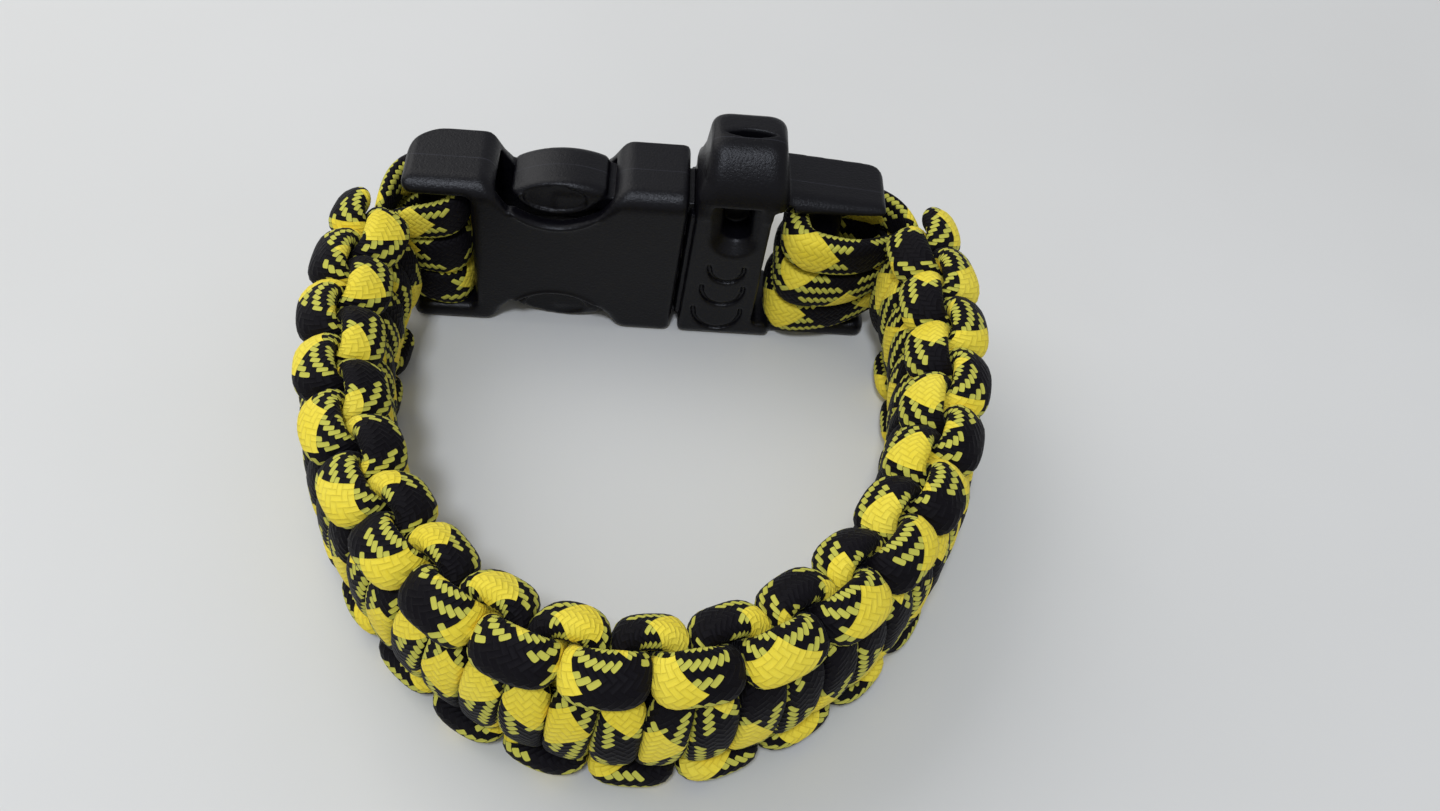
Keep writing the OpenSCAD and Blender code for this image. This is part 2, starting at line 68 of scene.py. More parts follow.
def makeCamera():
    lens = bpy.data.cameras.new("camera")
    lens.sensor_fit = "HORIZONTAL"
    lens.lens = lens.sensor_width * look["focalPixels"] / look["pictureWidth"]
    lens.clip_start = look["nearest"]
    camera = bpy.data.objects.new("camera", lens)
    turned = Matrix.Rotation(math.radians(look["turn"]), 4, "Z")
    tilted = Matrix.Rotation(math.radians(90 - look["down"]), 4, "X")
    rolled = Matrix.Rotation(math.radians(look["roll"]), 4, "Z")
    camera.matrix_world = Matrix.Translation(Vector(look["place"]) * mm) @ turned @ tilted @ rolled
    scene.collection.objects.link(camera)
    scene.camera = camera


makeCamera()
print("camera placed")


# Small helpers for node trees: a value is a number, a colour or another node's socket
def wire(tree, socket, value):
    if isinstance(value, bpy.types.NodeSocket):
        tree.links.new(value, socket)
    elif value is not None:
        socket.default_value = value


def addNode(tree, kind, inputs=None, **settings):
    node = tree.nodes.new(kind)
    for key, value in settings.items():
        setattr(node, key, value)
    for key, value in (inputs or {}).items():
        wire(tree, node.inputs[key], value)
    return node


def maths(tree, operation, *values, kind="ShaderNodeMath"):
    node = addNode(tree, kind, operation=operation)
    for socket, value in zip(node.inputs, values):
        wire(tree, socket, value)
    return node.outputs[0]


def vectorMaths(tree, operation, *values):
    return maths(tree, operation, *values, kind="ShaderNodeVectorMath")


def scaled(tree, vector, factor):
    return vectorMaths(tree, "SCALE", vector, None, None, factor)


def combine(tree, x, y, z):
    return addNode(tree, "ShaderNodeCombineXYZ", {0: x, 1: y, 2: z}).outputs[0]


def choose(tree, pick, whenOne, whenZero):
    rest = maths(tree, "SUBTRACT", 1.0, pick)
    return maths(tree, "MULTIPLY_ADD", pick, whenOne, maths(tree, "MULTIPLY", rest, whenZero))


def mixColour(tree, factor, first, second):
    node = addNode(tree, "ShaderNodeMix", {"Factor": factor}, data_type="RGBA")
    wire(tree, node.inputs[6], first)
    wire(tree, node.inputs[7], second)
    return node.outputs[2]


def noise(tree, place, scale, detail, roughness=0.5):
    inputs = {"Vector": place, "Scale": scale, "Detail": detail, "Roughness": roughness}
    return addNode(tree, "ShaderNodeTexNoise", inputs).outputs[0]


def objectPlace(tree):
    return addNode(tree, "ShaderNodeTexCoord").outputs["Object"]


def paint(*screen):
    # A screen's red, green and blue out of 255, as the linear colour that a shader takes
    shares = [part / 255 for part in screen]
    linear = [s / 12.92 if s < 0.04045 else ((s + 0.055) / 1.055) ** 2.4 for s in shares]
    return (*linear, 1.0)


def newMaterial(name, specular):
    material = bpy.data.materials.new(name)
    material.use_nodes = True
    shader = material.node_tree.nodes["Principled BSDF"]
    shader.inputs["Specular IOR Level"].default_value = specular
    return material, material.node_tree, shader


def addBump(tree, shader, strength, rise, surface):
    # rise is the height of a full step in millimetres
    bump = addNode(tree, "ShaderNodeBump",
                   {"Strength": strength, "Distance": rise * mm, "Height": surface})
    wire(tree, shader.inputs["Normal"], bump.outputs[0])


sheath = {
    "yarns": 16,  # yarns that run each way round the cord
    "yellowYarns": 8,  # how many of those are yellow
    "crossing": 0.83,  # length of sheath from one crossing to the next, mm
    "loneWidth": 0.34,  # how much of a lone yellow yarn the black ones beside it cover
    "yellow": paint(238, 212, 50),
    "yellowLight": paint(252, 236, 98),
    "yellowCreviceShade": paint(206, 176, 36),
    "lone": paint(198, 194, 82),
    "black": paint(8, 6, 9),
    "blackLight": paint(19, 16, 22),
    "blackCreviceShade": paint(2, 1, 2),
    "ends": (4.0, 0.7),  # how square a yarn's ends are, and how far they sink
    "rim": (3.0, 0.4),  # how narrow and how dark the painted shade is at a yarn's edge, where it sinks between its neighbours
    "filaments": (5.0, 1.3, 3.7),  # across a yarn, along it, and from one yarn to the next
    "filamentNoise": (1.6, 2.0, 0.6),
    "patchNoise": (140.0, 3.0),
    "shading": (0.9, 0.9, -0.55),  # what the filaments and the patches add, and where it starts
    "filamentRise": 0.18,
    "relief": (0.9, 0.12),  # strength, and mm
    "roughness": 0.62,
    "specular": 0.1,
    "sheen": (0.03, 0.4),  # weight and roughness
}


def braidedSheath():
    material, tree, shader = newMaterial("braidedSheath", sheath["specular"])
    cordMap = addNode(tree, "ShaderNodeUVMap", uv_map="UVMap").outputs[0]
    place = addNode(tree, "ShaderNodeSeparateXYZ", {0: cordMap}).outputs
    turns = maths(tree, "MULTIPLY", place[0], sheath["yarns"])
    steps = maths(tree, "DIVIDE", place[1], sheath["crossing"])
    rising = maths(tree, "ADD", turns, steps)
    falling = maths(tree, "SUBTRACT", turns, steps)
    risingYarn = maths(tree, "FLOOR", rising)
    fallingYarn = maths(tree, "FLOOR", falling)
    risingShare = maths(tree, "FRACT", rising)
    fallingShare = maths(tree, "FRACT", falling)
    # Each yarn passes over two others and then under two
    phase = maths(tree, "FLOORED_MODULO", maths(tree, "ADD", risingYarn, fallingYarn), 4.0)
    risingOnTop = maths(tree, "LESS_THAN", phase, 1.5)
    across = choose(tree, risingOnTop, risingShare, fallingShare)
    alongRising = maths(tree, "ADD", phase, fallingShare)
    alongFalling = maths(tree, "SUBTRACT", maths(tree, "ADD", phase, risingShare), 2.0)
    along = maths(tree, "MULTIPLY", choose(tree, risingOnTop, alongRising, alongFalling), 0.5)
    yarn = choose(tree, risingOnTop, risingYarn, fallingYarn)
    under = choose(tree, risingOnTop, fallingYarn, risingYarn)

    def isYellow(number):
        around = maths(tree, "FLOORED_MODULO", number, sheath["yarns"])
        return maths(tree, "LESS_THAN", around, sheath["yellowYarns"] - 0.5)

    yarnYellow, underYellow = isYellow(yarn), isYellow(under)
    # Where a yarn lies on top it is a small pillow, round across and flat along
    squareness, sinking = sheath["ends"]
    side = maths(tree, "MULTIPLY_ADD", across, 2.0, -1.0)
    end = maths(tree, "MULTIPLY_ADD", along, 2.0, -1.0)
    roundSide = maths(tree, "SQRT", maths(tree, "SUBTRACT", 1.0, maths(tree, "MULTIPLY", side, side)))
    toEnd = maths(tree, "POWER", maths(tree, "ABSOLUTE", end), squareness)
    flatEnd = maths(tree, "MULTIPLY_ADD", maths(tree, "SUBTRACT", 1.0, toEnd), sinking, 1 - sinking)
    pillow = maths(tree, "MULTIPLY", roundSide, flatEnd)
    # Fine filaments that run along the yarn
    acrossYarn, alongYarn, nextYarn = sheath["filaments"]
    streak = combine(tree, maths(tree, "MULTIPLY_ADD", across, acrossYarn, yarn),
                     maths(tree, "MULTIPLY", along, alongYarn), maths(tree, "MULTIPLY", phase, nextYarn))
    filament = noise(tree, streak, *sheath["filamentNoise"])
    patch = noise(tree, objectPlace(tree), *sheath["patchNoise"])
    fromFilament, fromPatch, start = sheath["shading"]
    shade = maths(tree, "MULTIPLY_ADD", patch, fromPatch, start)
    shade = maths(tree, "MULTIPLY_ADD", filament, fromFilament, shade)
    # A yellow yarn among black ones shows narrower, and duller, with the shade of the black yarns beside it
    # painted into its colour
    showing = maths(tree, "GREATER_THAN", pillow, sheath["loneWidth"])
    coloured = maths(tree, "MULTIPLY", yarnYellow, maths(tree, "MAXIMUM", underYellow, showing))
    yellow = mixColour(tree, shade, sheath["yellow"], sheath["yellowLight"])
    yellow = mixColour(tree, underYellow, sheath["lone"], yellow)
    black = mixColour(tree, shade, sheath["black"], sheath["blackLight"])
    # Painted shade: each yarn's colour darkens towards its edges, where it sinks between its neighbours
    narrowness, depth = sheath["rim"]
    rim = maths(tree, "POWER", maths(tree, "SUBTRACT", 1.0, pillow), narrowness)
    rim = maths(tree, "MULTIPLY", rim, depth)
    yellow = mixColour(tree, rim, yellow, sheath["yellowCreviceShade"])
    black = mixColour(tree, rim, black, sheath["blackCreviceShade"])
    wire(tree, shader.inputs["Base Color"], mixColour(tree, coloured, black, yellow))
    shader.inputs["Roughness"].default_value = sheath["roughness"]
    shader.inputs["Sheen Weight"].default_value = sheath["sheen"][0]
    shader.inputs["Sheen Roughness"].default_value = sheath["sheen"][1]
    surface = maths(tree, "MULTIPLY_ADD", filament, sheath["filamentRise"], pillow)
    addBump(tree, shader, *sheath["relief"], surface)
    return material


plastic = {
    "black": paint(9, 8, 12),
    "worn": paint(26, 26, 33),
    "partingLine": paint(58, 58, 66),
    "lineWidth": 0.1,  # mm
    "grainSize": 0.3,  # mm
    "grainNoise": (3.0, 0.65),
    "cloudNoise": (220.0, 4.0),
    "fleckRarity": 3.0,
    "relief": (0.8, 0.07),  # strength, and mm
    "roughness": (0.26, 0.12),  # least, and what the clouds add
    "specular": 0.22,
}


def mouldedPlastic(name):
    material, tree, shader = newMaterial(name, plastic["specular"])
    place = objectPlace(tree)
    grain = noise(tree, place, 1 / (plastic["grainSize"] * mm), *plastic["grainNoise"])
    cloud = noise(tree, place, *plastic["cloudNoise"])
    fleck = maths(tree, "MULTIPLY", maths(tree, "POWER", grain, plastic["fleckRarity"]), cloud)
    colour = mixColour(tree, fleck, plastic["black"], plastic["worn"])
    # The faint line where the two halves of the mould met
    y = addNode(tree, "ShaderNodeSeparateXYZ", {0: place}).outputs[1]
    fromLine = maths(tree, "ABSOLUTE", maths(tree, "SUBTRACT", y, buckleY * mm))
    onLine = maths(tree, "LESS_THAN", fromLine, plastic["lineWidth"] / 2 * mm)
    line = maths(tree, "MULTIPLY", onLine, cloud)
    wire(tree, shader.inputs["Base Color"], mixColour(tree, line, colour, plastic["partingLine"]))
    least, added = plastic["roughness"]
    wire(tree, shader.inputs["Roughness"], maths(tree, "MULTIPLY_ADD", cloud, added, least))
    addBump(tree, shader, *plastic["relief"], grain)
    return material


cordFinish = braidedSheath()
socketFinish = mouldedPlastic("socketPlastic")
whistleFinish = mouldedPlastic("whistlePlastic")
print("cord and plastic materials made")

# The woven band and its ring round the wrist, in millimetres as all that follows
band = {
    "ringWidth": 72.0,
    "ringDepth": 98.0,
    "ringSet": 14.0,  # from the buckle's inner face forward to the ring's middle
    "shift": 1.1,  # the weave sits this far to the right of the middle
    "lean": 0.07,  # and leans this share of its height further right at the top
    "width": 22.8,
    "thickness": 10.0,
    "knotPitch": 4.3,  # about; a whole number of knots fills the band
    "coreThickness": 3.4,
    "edgeWidth": 5.0,  # weave outside the core, on each side
    "tableEnd": 150,  # degrees from the front that the table of lengths reaches, in steps of a tenth
}
ringY = innerFace - band["ringSet"]
bandZ = band["width"] / 2
coreHalf = bandZ - band["edgeWidth"]


def lengthsUpTo(points):
    return np.concatenate([[0], np.cumsum(np.linalg.norm(np.diff(points, axis=0), axis=1))])


def ringTable():
    # Angles round the ring from the front, and the length of band up to each
    angles = np.radians(np.linspace(0, band["tableEnd"], 10 * band["tableEnd"] + 1))
    x = band["ringWidth"] / 2 * np.sin(angles)
    y = ringY - band["ringDepth"] / 2 * np.cos(angles)
    return angles, lengthsUpTo(np.stack([x, y], -1))


ringAngles, ringLengths = ringTable()
weaveEnd = math.pi / 2 + math.asin(2 * band["ringSet"] / band["ringDepth"])
weaveHalf = float(np.interp(weaveEnd, ringAngles, ringLengths))
endKnot = round(weaveHalf / band["knotPitch"])
pitch = weaveHalf / endKnot


def onRing(length):
    # A place on the band's centre line, with the way along it and the way outwards
    angle = math.copysign(float(np.interp(abs(length), ringLengths, ringAngles)), length)
    width, depth = band["ringWidth"], band["ringDepth"]
    point = Vector((width / 2 * math.sin(angle), ringY - depth / 2 * math.cos(angle)))
    along = Vector((width * math.cos(angle), depth * math.sin(angle))).normalized()
    return point, along, Vector((along.y, -along.x))


cord = {
    "ringsPerHalfKnot": 40,
    "sides": 38,
    "girth": 15.0,  # round the cord's sheath
    "halfThick": 1.85,
    "halfWide": 3.0,
    "squareness": 2.5,
    "swelling": (0.6, 1.25),  # least and most that the oval may be scaled by
    "halvings": 18,  # of that range, to find the girth
    "gap": 0.12,
    "least": 0.35,  # least radius where it is pressed
    "free": 9.0,  # a limit that presses nowhere
    "tightest": 0.92,  # share of the bend's own radius that the cord may take up
    "nearest": 7.0,  # stretches within this distance press on each other
    "lookRound": (-3, 4, 24),  # from this half knot to that, at so many places in each
    "spokeReach": (0.05, 4, 80),  # first and last distance tried along a spoke, and how many
    "facing": 0.001,  # a stretch presses on a spoke that points at least this much towards it
    "straight": 0.02,  # a bend below this presses nowhere
    "ownStretch": 0.42,  # half knots each way that never press on their own middle
    "smoothing": 3,
    "overshoot": 0.03,
    "measures": 1000,  # steps in which a half knot's length is measured
    "sheathOut": 1.2,  # the sheath's pattern is even this far outside the cord's middle
    "edgeSet": 2.3,  # from the band's edge in to the cord's middle
    "coreSet": 0.8,  # from the core's edge in to the line that the cord turns round
    # The path as waves, each with its size and how often it swings in a whole knot
    "along": ((0.49, 1), (0.074, 2)),
    "across": ((1.054, 0.5), (-0.043, 1.5), (-0.011, 2.5)),
    "outward": ((0.09, 0), (-0.896, 1), (0.006, 2), (0.03, 3)),
}


def waves(name, swing, t, start=0):
    return sum((size * swing(tau * times * t) for size, times in cord[name]), start)


# The knotting cord in the flat weave: X along the band, Y inwards through it, Z across it.
# From t = 0 to 1 it crosses from the top edge over the front and round the bottom edge.
def cordPath(t):
    reach = bandZ - cord["edgeSet"]
    lift = (band["thickness"] + band["coreThickness"]) / 4
    along = pitch * waves("along", np.sin, t, t)
    across = reach * waves("across", np.cos, t)
    return np.stack([along, -lift * waves("outward", np.cos, t), across], -1)


def unitRows(rows):
    return rows / np.linalg.norm(rows, axis=-1, keepdims=True)


def dropAlong(rows, directions):
    return rows - (rows * directions).sum(-1, keepdims=True) * directions


def coreLimit(centre, spokes):
    # How far each spoke can go before it meets the flat core
    reach = np.linspace(*cord["spokeReach"])
    points = centre + reach[None, :, None] * spokes[:, None, :]
    outside = np.maximum(np.abs(points[..., 2]) - coreHalf + band["coreThickness"] / 2, 0)
    room = np.hypot(outside, points[..., 1]) - band["coreThickness"] / 2 - cord["gap"]
    return np.where(room < 0, reach, cord["free"]).min(axis=1)


def neighbourLimit(t, centre, spokes):
    # Half way to every other stretch of cord that lies in a spoke's direction
    start, stop, places = cord["lookRound"]
    near = np.arange(start * places, stop * places) / places
    own = cordPath(near)
    others = np.concatenate([own * (1, -1, -1), own[np.abs(near - t) > cord["ownStretch"]]]) - centre
    others = others[np.linalg.norm(others, axis=1) < cord["nearest"]]
    distance = np.linalg.norm(others, axis=1)
    towards = spokes @ others.T
    room = distance ** 2 / 2 - cord["gap"] / 2 * distance
    limit = room / np.maximum(towards, cord["facing"])
    return np.where(towards > cord["facing"], limit, cord["free"]).min(axis=1)


def superOval(angles, halfThick, halfWide, squareness):
    thick, wide = np.abs(np.cos(angles) / halfThick), np.abs(np.sin(angles) / halfWide)
    return (thick ** squareness + wide ** squareness) ** (-1 / squareness)


def pressedOval(limits, angles):
    # A flat oval cut back to the limits, swollen or shrunk until its girth is the cord's
    oval = superOval(angles, cord["halfThick"], cord["halfWide"], cord["squareness"])
    low, high = cord["swelling"]
    for _ in range(cord["halvings"]):
        share = (low + high) / 2
        radii = np.minimum(limits, share * oval)
        outline = radii * np.exp(1j * angles)
        if np.abs(outline - np.roll(outline, 1)).sum() > cord["girth"]:
            high = share
        else:
            low = share
    return radii


def cordFrame(t):
    # The cord's middle at t, the ways along it and out from the core, and the places just ahead
    # and behind
    step = 1e-3
    centres, ahead, behind = cordPath(t), cordPath(t + step), cordPath(t - step)
    along = unitRows(ahead - behind)
    nearestCore = centres * (1, 0, 1)
    nearestCore[:, 2] = np.clip(centres[:, 2], cord["coreSet"] - coreHalf, coreHalf - cord["coreSet"])
    return centres, along, unitRows(dropAlong(centres - nearestCore, along)), ahead, behind


def dressHalfKnot():
    # Sections of one half knot as rings of points, the length of sheath up to each,
    # and the lengths of all its sheath and of all its cord
    rings, sides = cord["ringsPerHalfKnot"], cord["sides"]
    t = np.arange(rings) / rings
    angles = tau * np.arange(sides) / sides
    centres, along, up, ahead, behind = cordFrame(t)
    aside = np.cross(along, up)
    stride = np.linalg.norm(ahead - behind, axis=1, keepdims=True) / 2
    curve = dropAlong((ahead + behind - 2 * centres) / stride ** 2, along)
    cosines, sines = np.cos(angles)[None, :, None], np.sin(angles)[None, :, None]
    spokes = cosines * up[:, None, :] + sines * aside[:, None, :]
    limits = np.zeros((rings, sides))
    radii = np.zeros((rings, sides))
    for i in range(rings):
        bend = np.maximum(spokes[i] @ curve[i], cord["straight"])
        bendLimit = np.where(bend > cord["straight"], cord["tightest"] / bend, cord["free"])
        limits[i] = np.minimum(coreLimit(centres[i], spokes[i]), neighbourLimit(t[i], centres[i], spokes[i]))
        limits[i] = np.maximum(np.minimum(limits[i], bendLimit), cord["least"])
        radii[i] = pressedOval(limits[i], angles)
    for _ in range(cord["smoothing"]):
        # The half knots before and after this one are its mirror image
        mirrored = radii[:, -np.arange(sides) % sides]
        before = np.concatenate([mirrored[-1:], radii[:-1]])
        after = np.concatenate([radii[1:], mirrored[:1]])
        soft = 0.25 * before + 0.5 * radii + 0.25 * after
        soft = 0.25 * np.roll(soft, 1, 1) + 0.5 * soft + 0.25 * np.roll(soft, -1, 1)
        radii = np.minimum(soft, limits + cord["overshoot"])
    fine = np.linspace(0, 1, cord["measures"] + 1)
    middle, _, outward, _, _ = cordFrame(fine)
    sheathLengths = lengthsUpTo(middle + cord["sheathOut"] * outward)
    points = centres[:, None, :] + radii[..., None] * spokes
    return points, np.interp(t, fine, sheathLengths), sheathLengths[-1], lengthsUpTo(middle)[-1]


halfKnot, halfKnotLengths, halfKnotSheath, halfKnotCord = dressHalfKnot()
print("half knot dressed:", round(halfKnotCord, 1), "mm of cord in", round(pitch, 2), "mm of band")


def cordRing(i):
    # Ring i of the endless flat cord: every second half knot is the first one mirrored across the band
    k, r = divmod(i, cord["ringsPerHalfKnot"])
    points = halfKnot[r]
    if k % 2:
        points = points[-np.arange(cord["sides"]) % cord["sides"]] * (1, 1, -1)
    return points + (k * pitch, 0, 0), k * halfKnotSheath + halfKnotLengths[r]


def newBuild():
    return {"points": [], "faces": [], "uv": [], "tip": []}


def addTube(build, rings, lengths, pattern, closeStart=False, closeEnd=False, tip=False):
    # Adds a tube to a build. Its UV goes round it from 0 to 1 and along it in millimetres,
    # and each ring's pattern says how far its UV is turned and pushed along.
    sides = len(rings[0])
    first = len(build["points"])
    shares = []
    for points, (turn, _) in zip(rings, pattern):
        build["points"].extend(points.tolist())
        edges = np.linalg.norm(np.roll(points, -1, axis=0) - points, axis=1)
        shares.append(np.concatenate([[0], np.cumsum(edges)]) / edges.sum() + turn)
    lengths = [length + push for length, (_, push) in zip(lengths, pattern)]
    for i in range(len(rings) - 1):
        for j in range(sides):
            a, b = first + i * sides + j, first + i * sides + (j + 1) % sides
            build["faces"].append((a, a + sides, b + sides, b))
            build["uv"].extend([(shares[i][j], lengths[i]), (shares[i + 1][j], lengths[i + 1]),
                                (shares[i + 1][j + 1], lengths[i + 1]), (shares[i][j + 1], lengths[i])])
            build["tip"].append(tip)
    for row, wanted in ((0, closeStart), (len(rings) - 1, closeEnd)):
        if not wanted:
            continue
        hub = len(build["points"])
        build["points"].append(rings[row].mean(axis=0).tolist())
        for j in range(sides):
            a, b = first + row * sides + j, first + row * sides + (j + 1) % sides
            build["faces"].append((hub, a, b) if row == 0 else (hub, b, a))
            corners = [(shares[row][j], lengths[row]), (shares[row][j + 1], lengths[row])]
            build["uv"].extend([(0.5, lengths[row]), *(corners if row == 0 else corners[::-1])])
            build["tip"].append(tip)


def newPiece(name, points, faces, material):
    mesh = bpy.data.meshes.new(name)
    mesh.from_pydata(points, [], faces)
    mesh.polygons.foreach_set("use_smooth", np.ones(len(mesh.polygons), bool))
    mesh.materials.append(material)
    mesh.update()
    piece = bpy.data.objects.new(name, mesh)
    scene.collection.objects.link(piece)
    return piece


def cordPiece(name, build):
    points = [tuple(mm * c for c in point) for point in build["points"]]
    piece = newPiece(name, points, build["faces"], cordFinish)
    uvLayer = piece.data.uv_layers.new(name="UVMap")
    uvLayer.data.foreach_set("uv", np.array(build["uv"], np.float32).ravel())
    tips = piece.data.attributes.new("tip", "BOOLEAN", "FACE")
    tips.data.foreach_set("value", np.array(build["tip"], bool))
    return piece


def freeze(piece):
    # The evaluated shape takes the place of the mesh and its modifiers
    bpy.context.view_layer.update()
    made = piece.evaluated_get(bpy.context.evaluated_depsgraph_get())
    mesh = bpy.data.meshes.new_from_object(made)
    mesh.name = piece.name
    piece.modifiers.clear()
    piece.data = mesh


weave = {
    "plainKnots": endKnot - 1,  # whole knots between the two tips
    "frontEnd": -2 / 9,  # where the front cord's tips end, in half knots past the weave's end
    "backEnd": 1 / 9,  # and the back cord's
    "tipShrink": (0.96, 0.86, 0.62),
    "unevenness": 0.9,  # from the noise's lowest to its highest
    "unevenNoise": (130.0, 1.0),  # scale and detail
    "seed": 3.0,
    "patternTurn": 0.14,  # brings the sheath's plain patches to the face of the weave
    "weld": 0.01,
    "ringPoints": 512,
    "lowest": 0.02,  # above the table
}


def weaveTree():
    # Repeats one knot along a line, adds the cord's two tips and bends the whole round the wrist
    tree = bpy.data.node_groups.new("knotsRoundWrist", "GeometryNodeTree")
    tree.is_modifier = True
    face = tree.interface
    face.new_socket("Geometry", in_out="INPUT", socket_type="NodeSocketGeometry")
    kinds = {"Int": ("Knots",),
             "Float": ("Knot Length", "First Knot", "Cord In Knot", "Ring Width", "Ring Depth",
                       "Ring Middle", "Band Height", "Weave Shift", "Weave Lean", "Unevenness",
                       "Seed"),
             "Material": ("Finish",)}
    for kind, names in kinds.items():
        for name in names:
            face.new_socket(name, in_out="INPUT", socket_type="NodeSocket" + kind)
    face.new_socket("Geometry", in_out="OUTPUT", socket_type="NodeSocketGeometry")
    given = addNode(tree, "NodeGroupInput").outputs

    def stored(name, kind):
        return addNode(tree, "GeometryNodeInputNamedAttribute", {"Name": name}, data_type=kind).outputs[0]

    def store(geometry, name, value, kind, domain):
        return addNode(tree, "GeometryNodeStoreNamedAttribute",
                       {"Geometry": geometry, "Name": name, "Value": value},
                       data_type=kind, domain=domain).outputs[0]

    parts = addNode(tree, "GeometryNodeSeparateGeometry",
                    {"Geometry": given["Geometry"], "Selection": stored("tip", "BOOLEAN")},
                    domain="FACE").outputs
    line = addNode(tree, "GeometryNodeMeshLine",
                   {"Count": given["Knots"],
                    "Start Location": combine(tree, given["First Knot"], 0.0, 0.0),
                    "Offset": combine(tree, given["Knot Length"], 0.0, 0.0)}).outputs[0]
    placed = addNode(tree, "GeometryNodeInstanceOnPoints",
                     {"Points": line, "Instance": parts["Inverted"]}).outputs[0]
    index = addNode(tree, "GeometryNodeInputIndex").outputs[0]
    counted = store(placed, "knot", index, "INT", "INSTANCE")
    knots = addNode(tree, "GeometryNodeRealizeInstances", {"Geometry": counted}).outputs[0]
    # The sheath's pattern runs on from knot to knot
    pushed = maths(tree, "MULTIPLY", stored("knot", "INT"), given["Cord In Knot"])
    newMap = vectorMaths(tree, "ADD", stored("UVMap", "FLOAT_VECTOR"), combine(tree, 0.0, pushed, 0.0))
    mapped = store(knots, "UVMap", newMap, "FLOAT2", "CORNER")
    joined = addNode(tree, "GeometryNodeJoinGeometry")
    tree.links.new(parts["Selection"], joined.inputs[0])
    tree.links.new(mapped, joined.inputs[0])
    welded = addNode(tree, "GeometryNodeMergeByDistance",
                     {"Geometry": joined.outputs[0], "Distance": weave["weld"] * mm}).outputs[0]
    # Hand-tied knots are a little uneven
    flat = addNode(tree, "GeometryNodeInputPosition").outputs[0]
    scale, detail = weave["unevenNoise"]
    cloud = addNode(tree, "ShaderNodeTexNoise",
                    {"Vector": flat, "W": given["Seed"], "Scale": scale, "Detail": detail},
                    noise_dimensions="4D").outputs["Color"]
    wobble = vectorMaths(tree, "SUBTRACT", cloud, (0.5, 0.5, 0.5))
    uneven = addNode(tree, "GeometryNodeSetPosition",
                     {"Geometry": welded, "Offset": scaled(tree, wobble, given["Unevenness"])}).outputs[0]
    # The ring starts at the front and goes to the right
    circle = addNode(tree, "GeometryNodeCurvePrimitiveCircle",
                     {"Resolution": weave["ringPoints"], "Radius": 0.5}).outputs[0]
    turned = addNode(tree, "GeometryNodeTransform",
                     {"Geometry": circle, "Rotation": (0.0, 0.0, -tau / 4)}).outputs[0]
    ring = addNode(tree, "GeometryNodeTransform",
                   {"Geometry": turned,
                    "Scale": combine(tree, given["Ring Width"], given["Ring Depth"], 1.0),
                    "Translation": combine(tree, 0.0, given["Ring Middle"], 0.0)}).outputs[0]
    ringLength = addNode(tree, "GeometryNodeCurveLength", {0: ring}).outputs[0]
    along, inwards, height = addNode(tree, "ShaderNodeSeparateXYZ", {0: flat}).outputs
    leaning = maths(tree, "MULTIPLY_ADD", height, given["Weave Lean"], along)
    reach = maths(tree, "FLOORED_MODULO", maths(tree, "ADD", leaning, given["Weave Shift"]), ringLength)
    sample = addNode(tree, "GeometryNodeSampleCurve", {"Curves": ring, "Length": reach},
                     mode="LENGTH").outputs
    inward = vectorMaths(tree, "CROSS_PRODUCT", (0.0, 0.0, 1.0), sample["Tangent"])
    bent = vectorMaths(tree, "ADD", sample["Position"], scaled(tree, inward, inwards))
    # The weave stands on the table
    standing = maths(tree, "ADD", height, given["Band Height"])
    standing = maths(tree, "MAXIMUM", standing, weave["lowest"] * mm)
    bent = vectorMaths(tree, "ADD", bent, combine(tree, 0.0, 0.0, standing))
    worn = addNode(tree, "GeometryNodeSetPosition", {"Geometry": uneven, "Position": bent}).outputs[0]
    whole = addNode(tree, "GeometryNodeRealizeInstances", {"Geometry": worn}).outputs[0]
    finished = addNode(tree, "GeometryNodeSetMaterial",
                       {"Geometry": whole, "Material": given["Finish"]}).outputs[0]
    addNode(tree, "NodeGroupOutput", {0: finished})
    return tree


knotTree = weaveTree()


def setInputs(modifier, tree, values):
    for socket in tree.interface.items_tree:
        if socket.item_type == "SOCKET" and socket.in_out == "INPUT" and socket.name in values:
            modifier[socket.identifier] = values[socket.name]


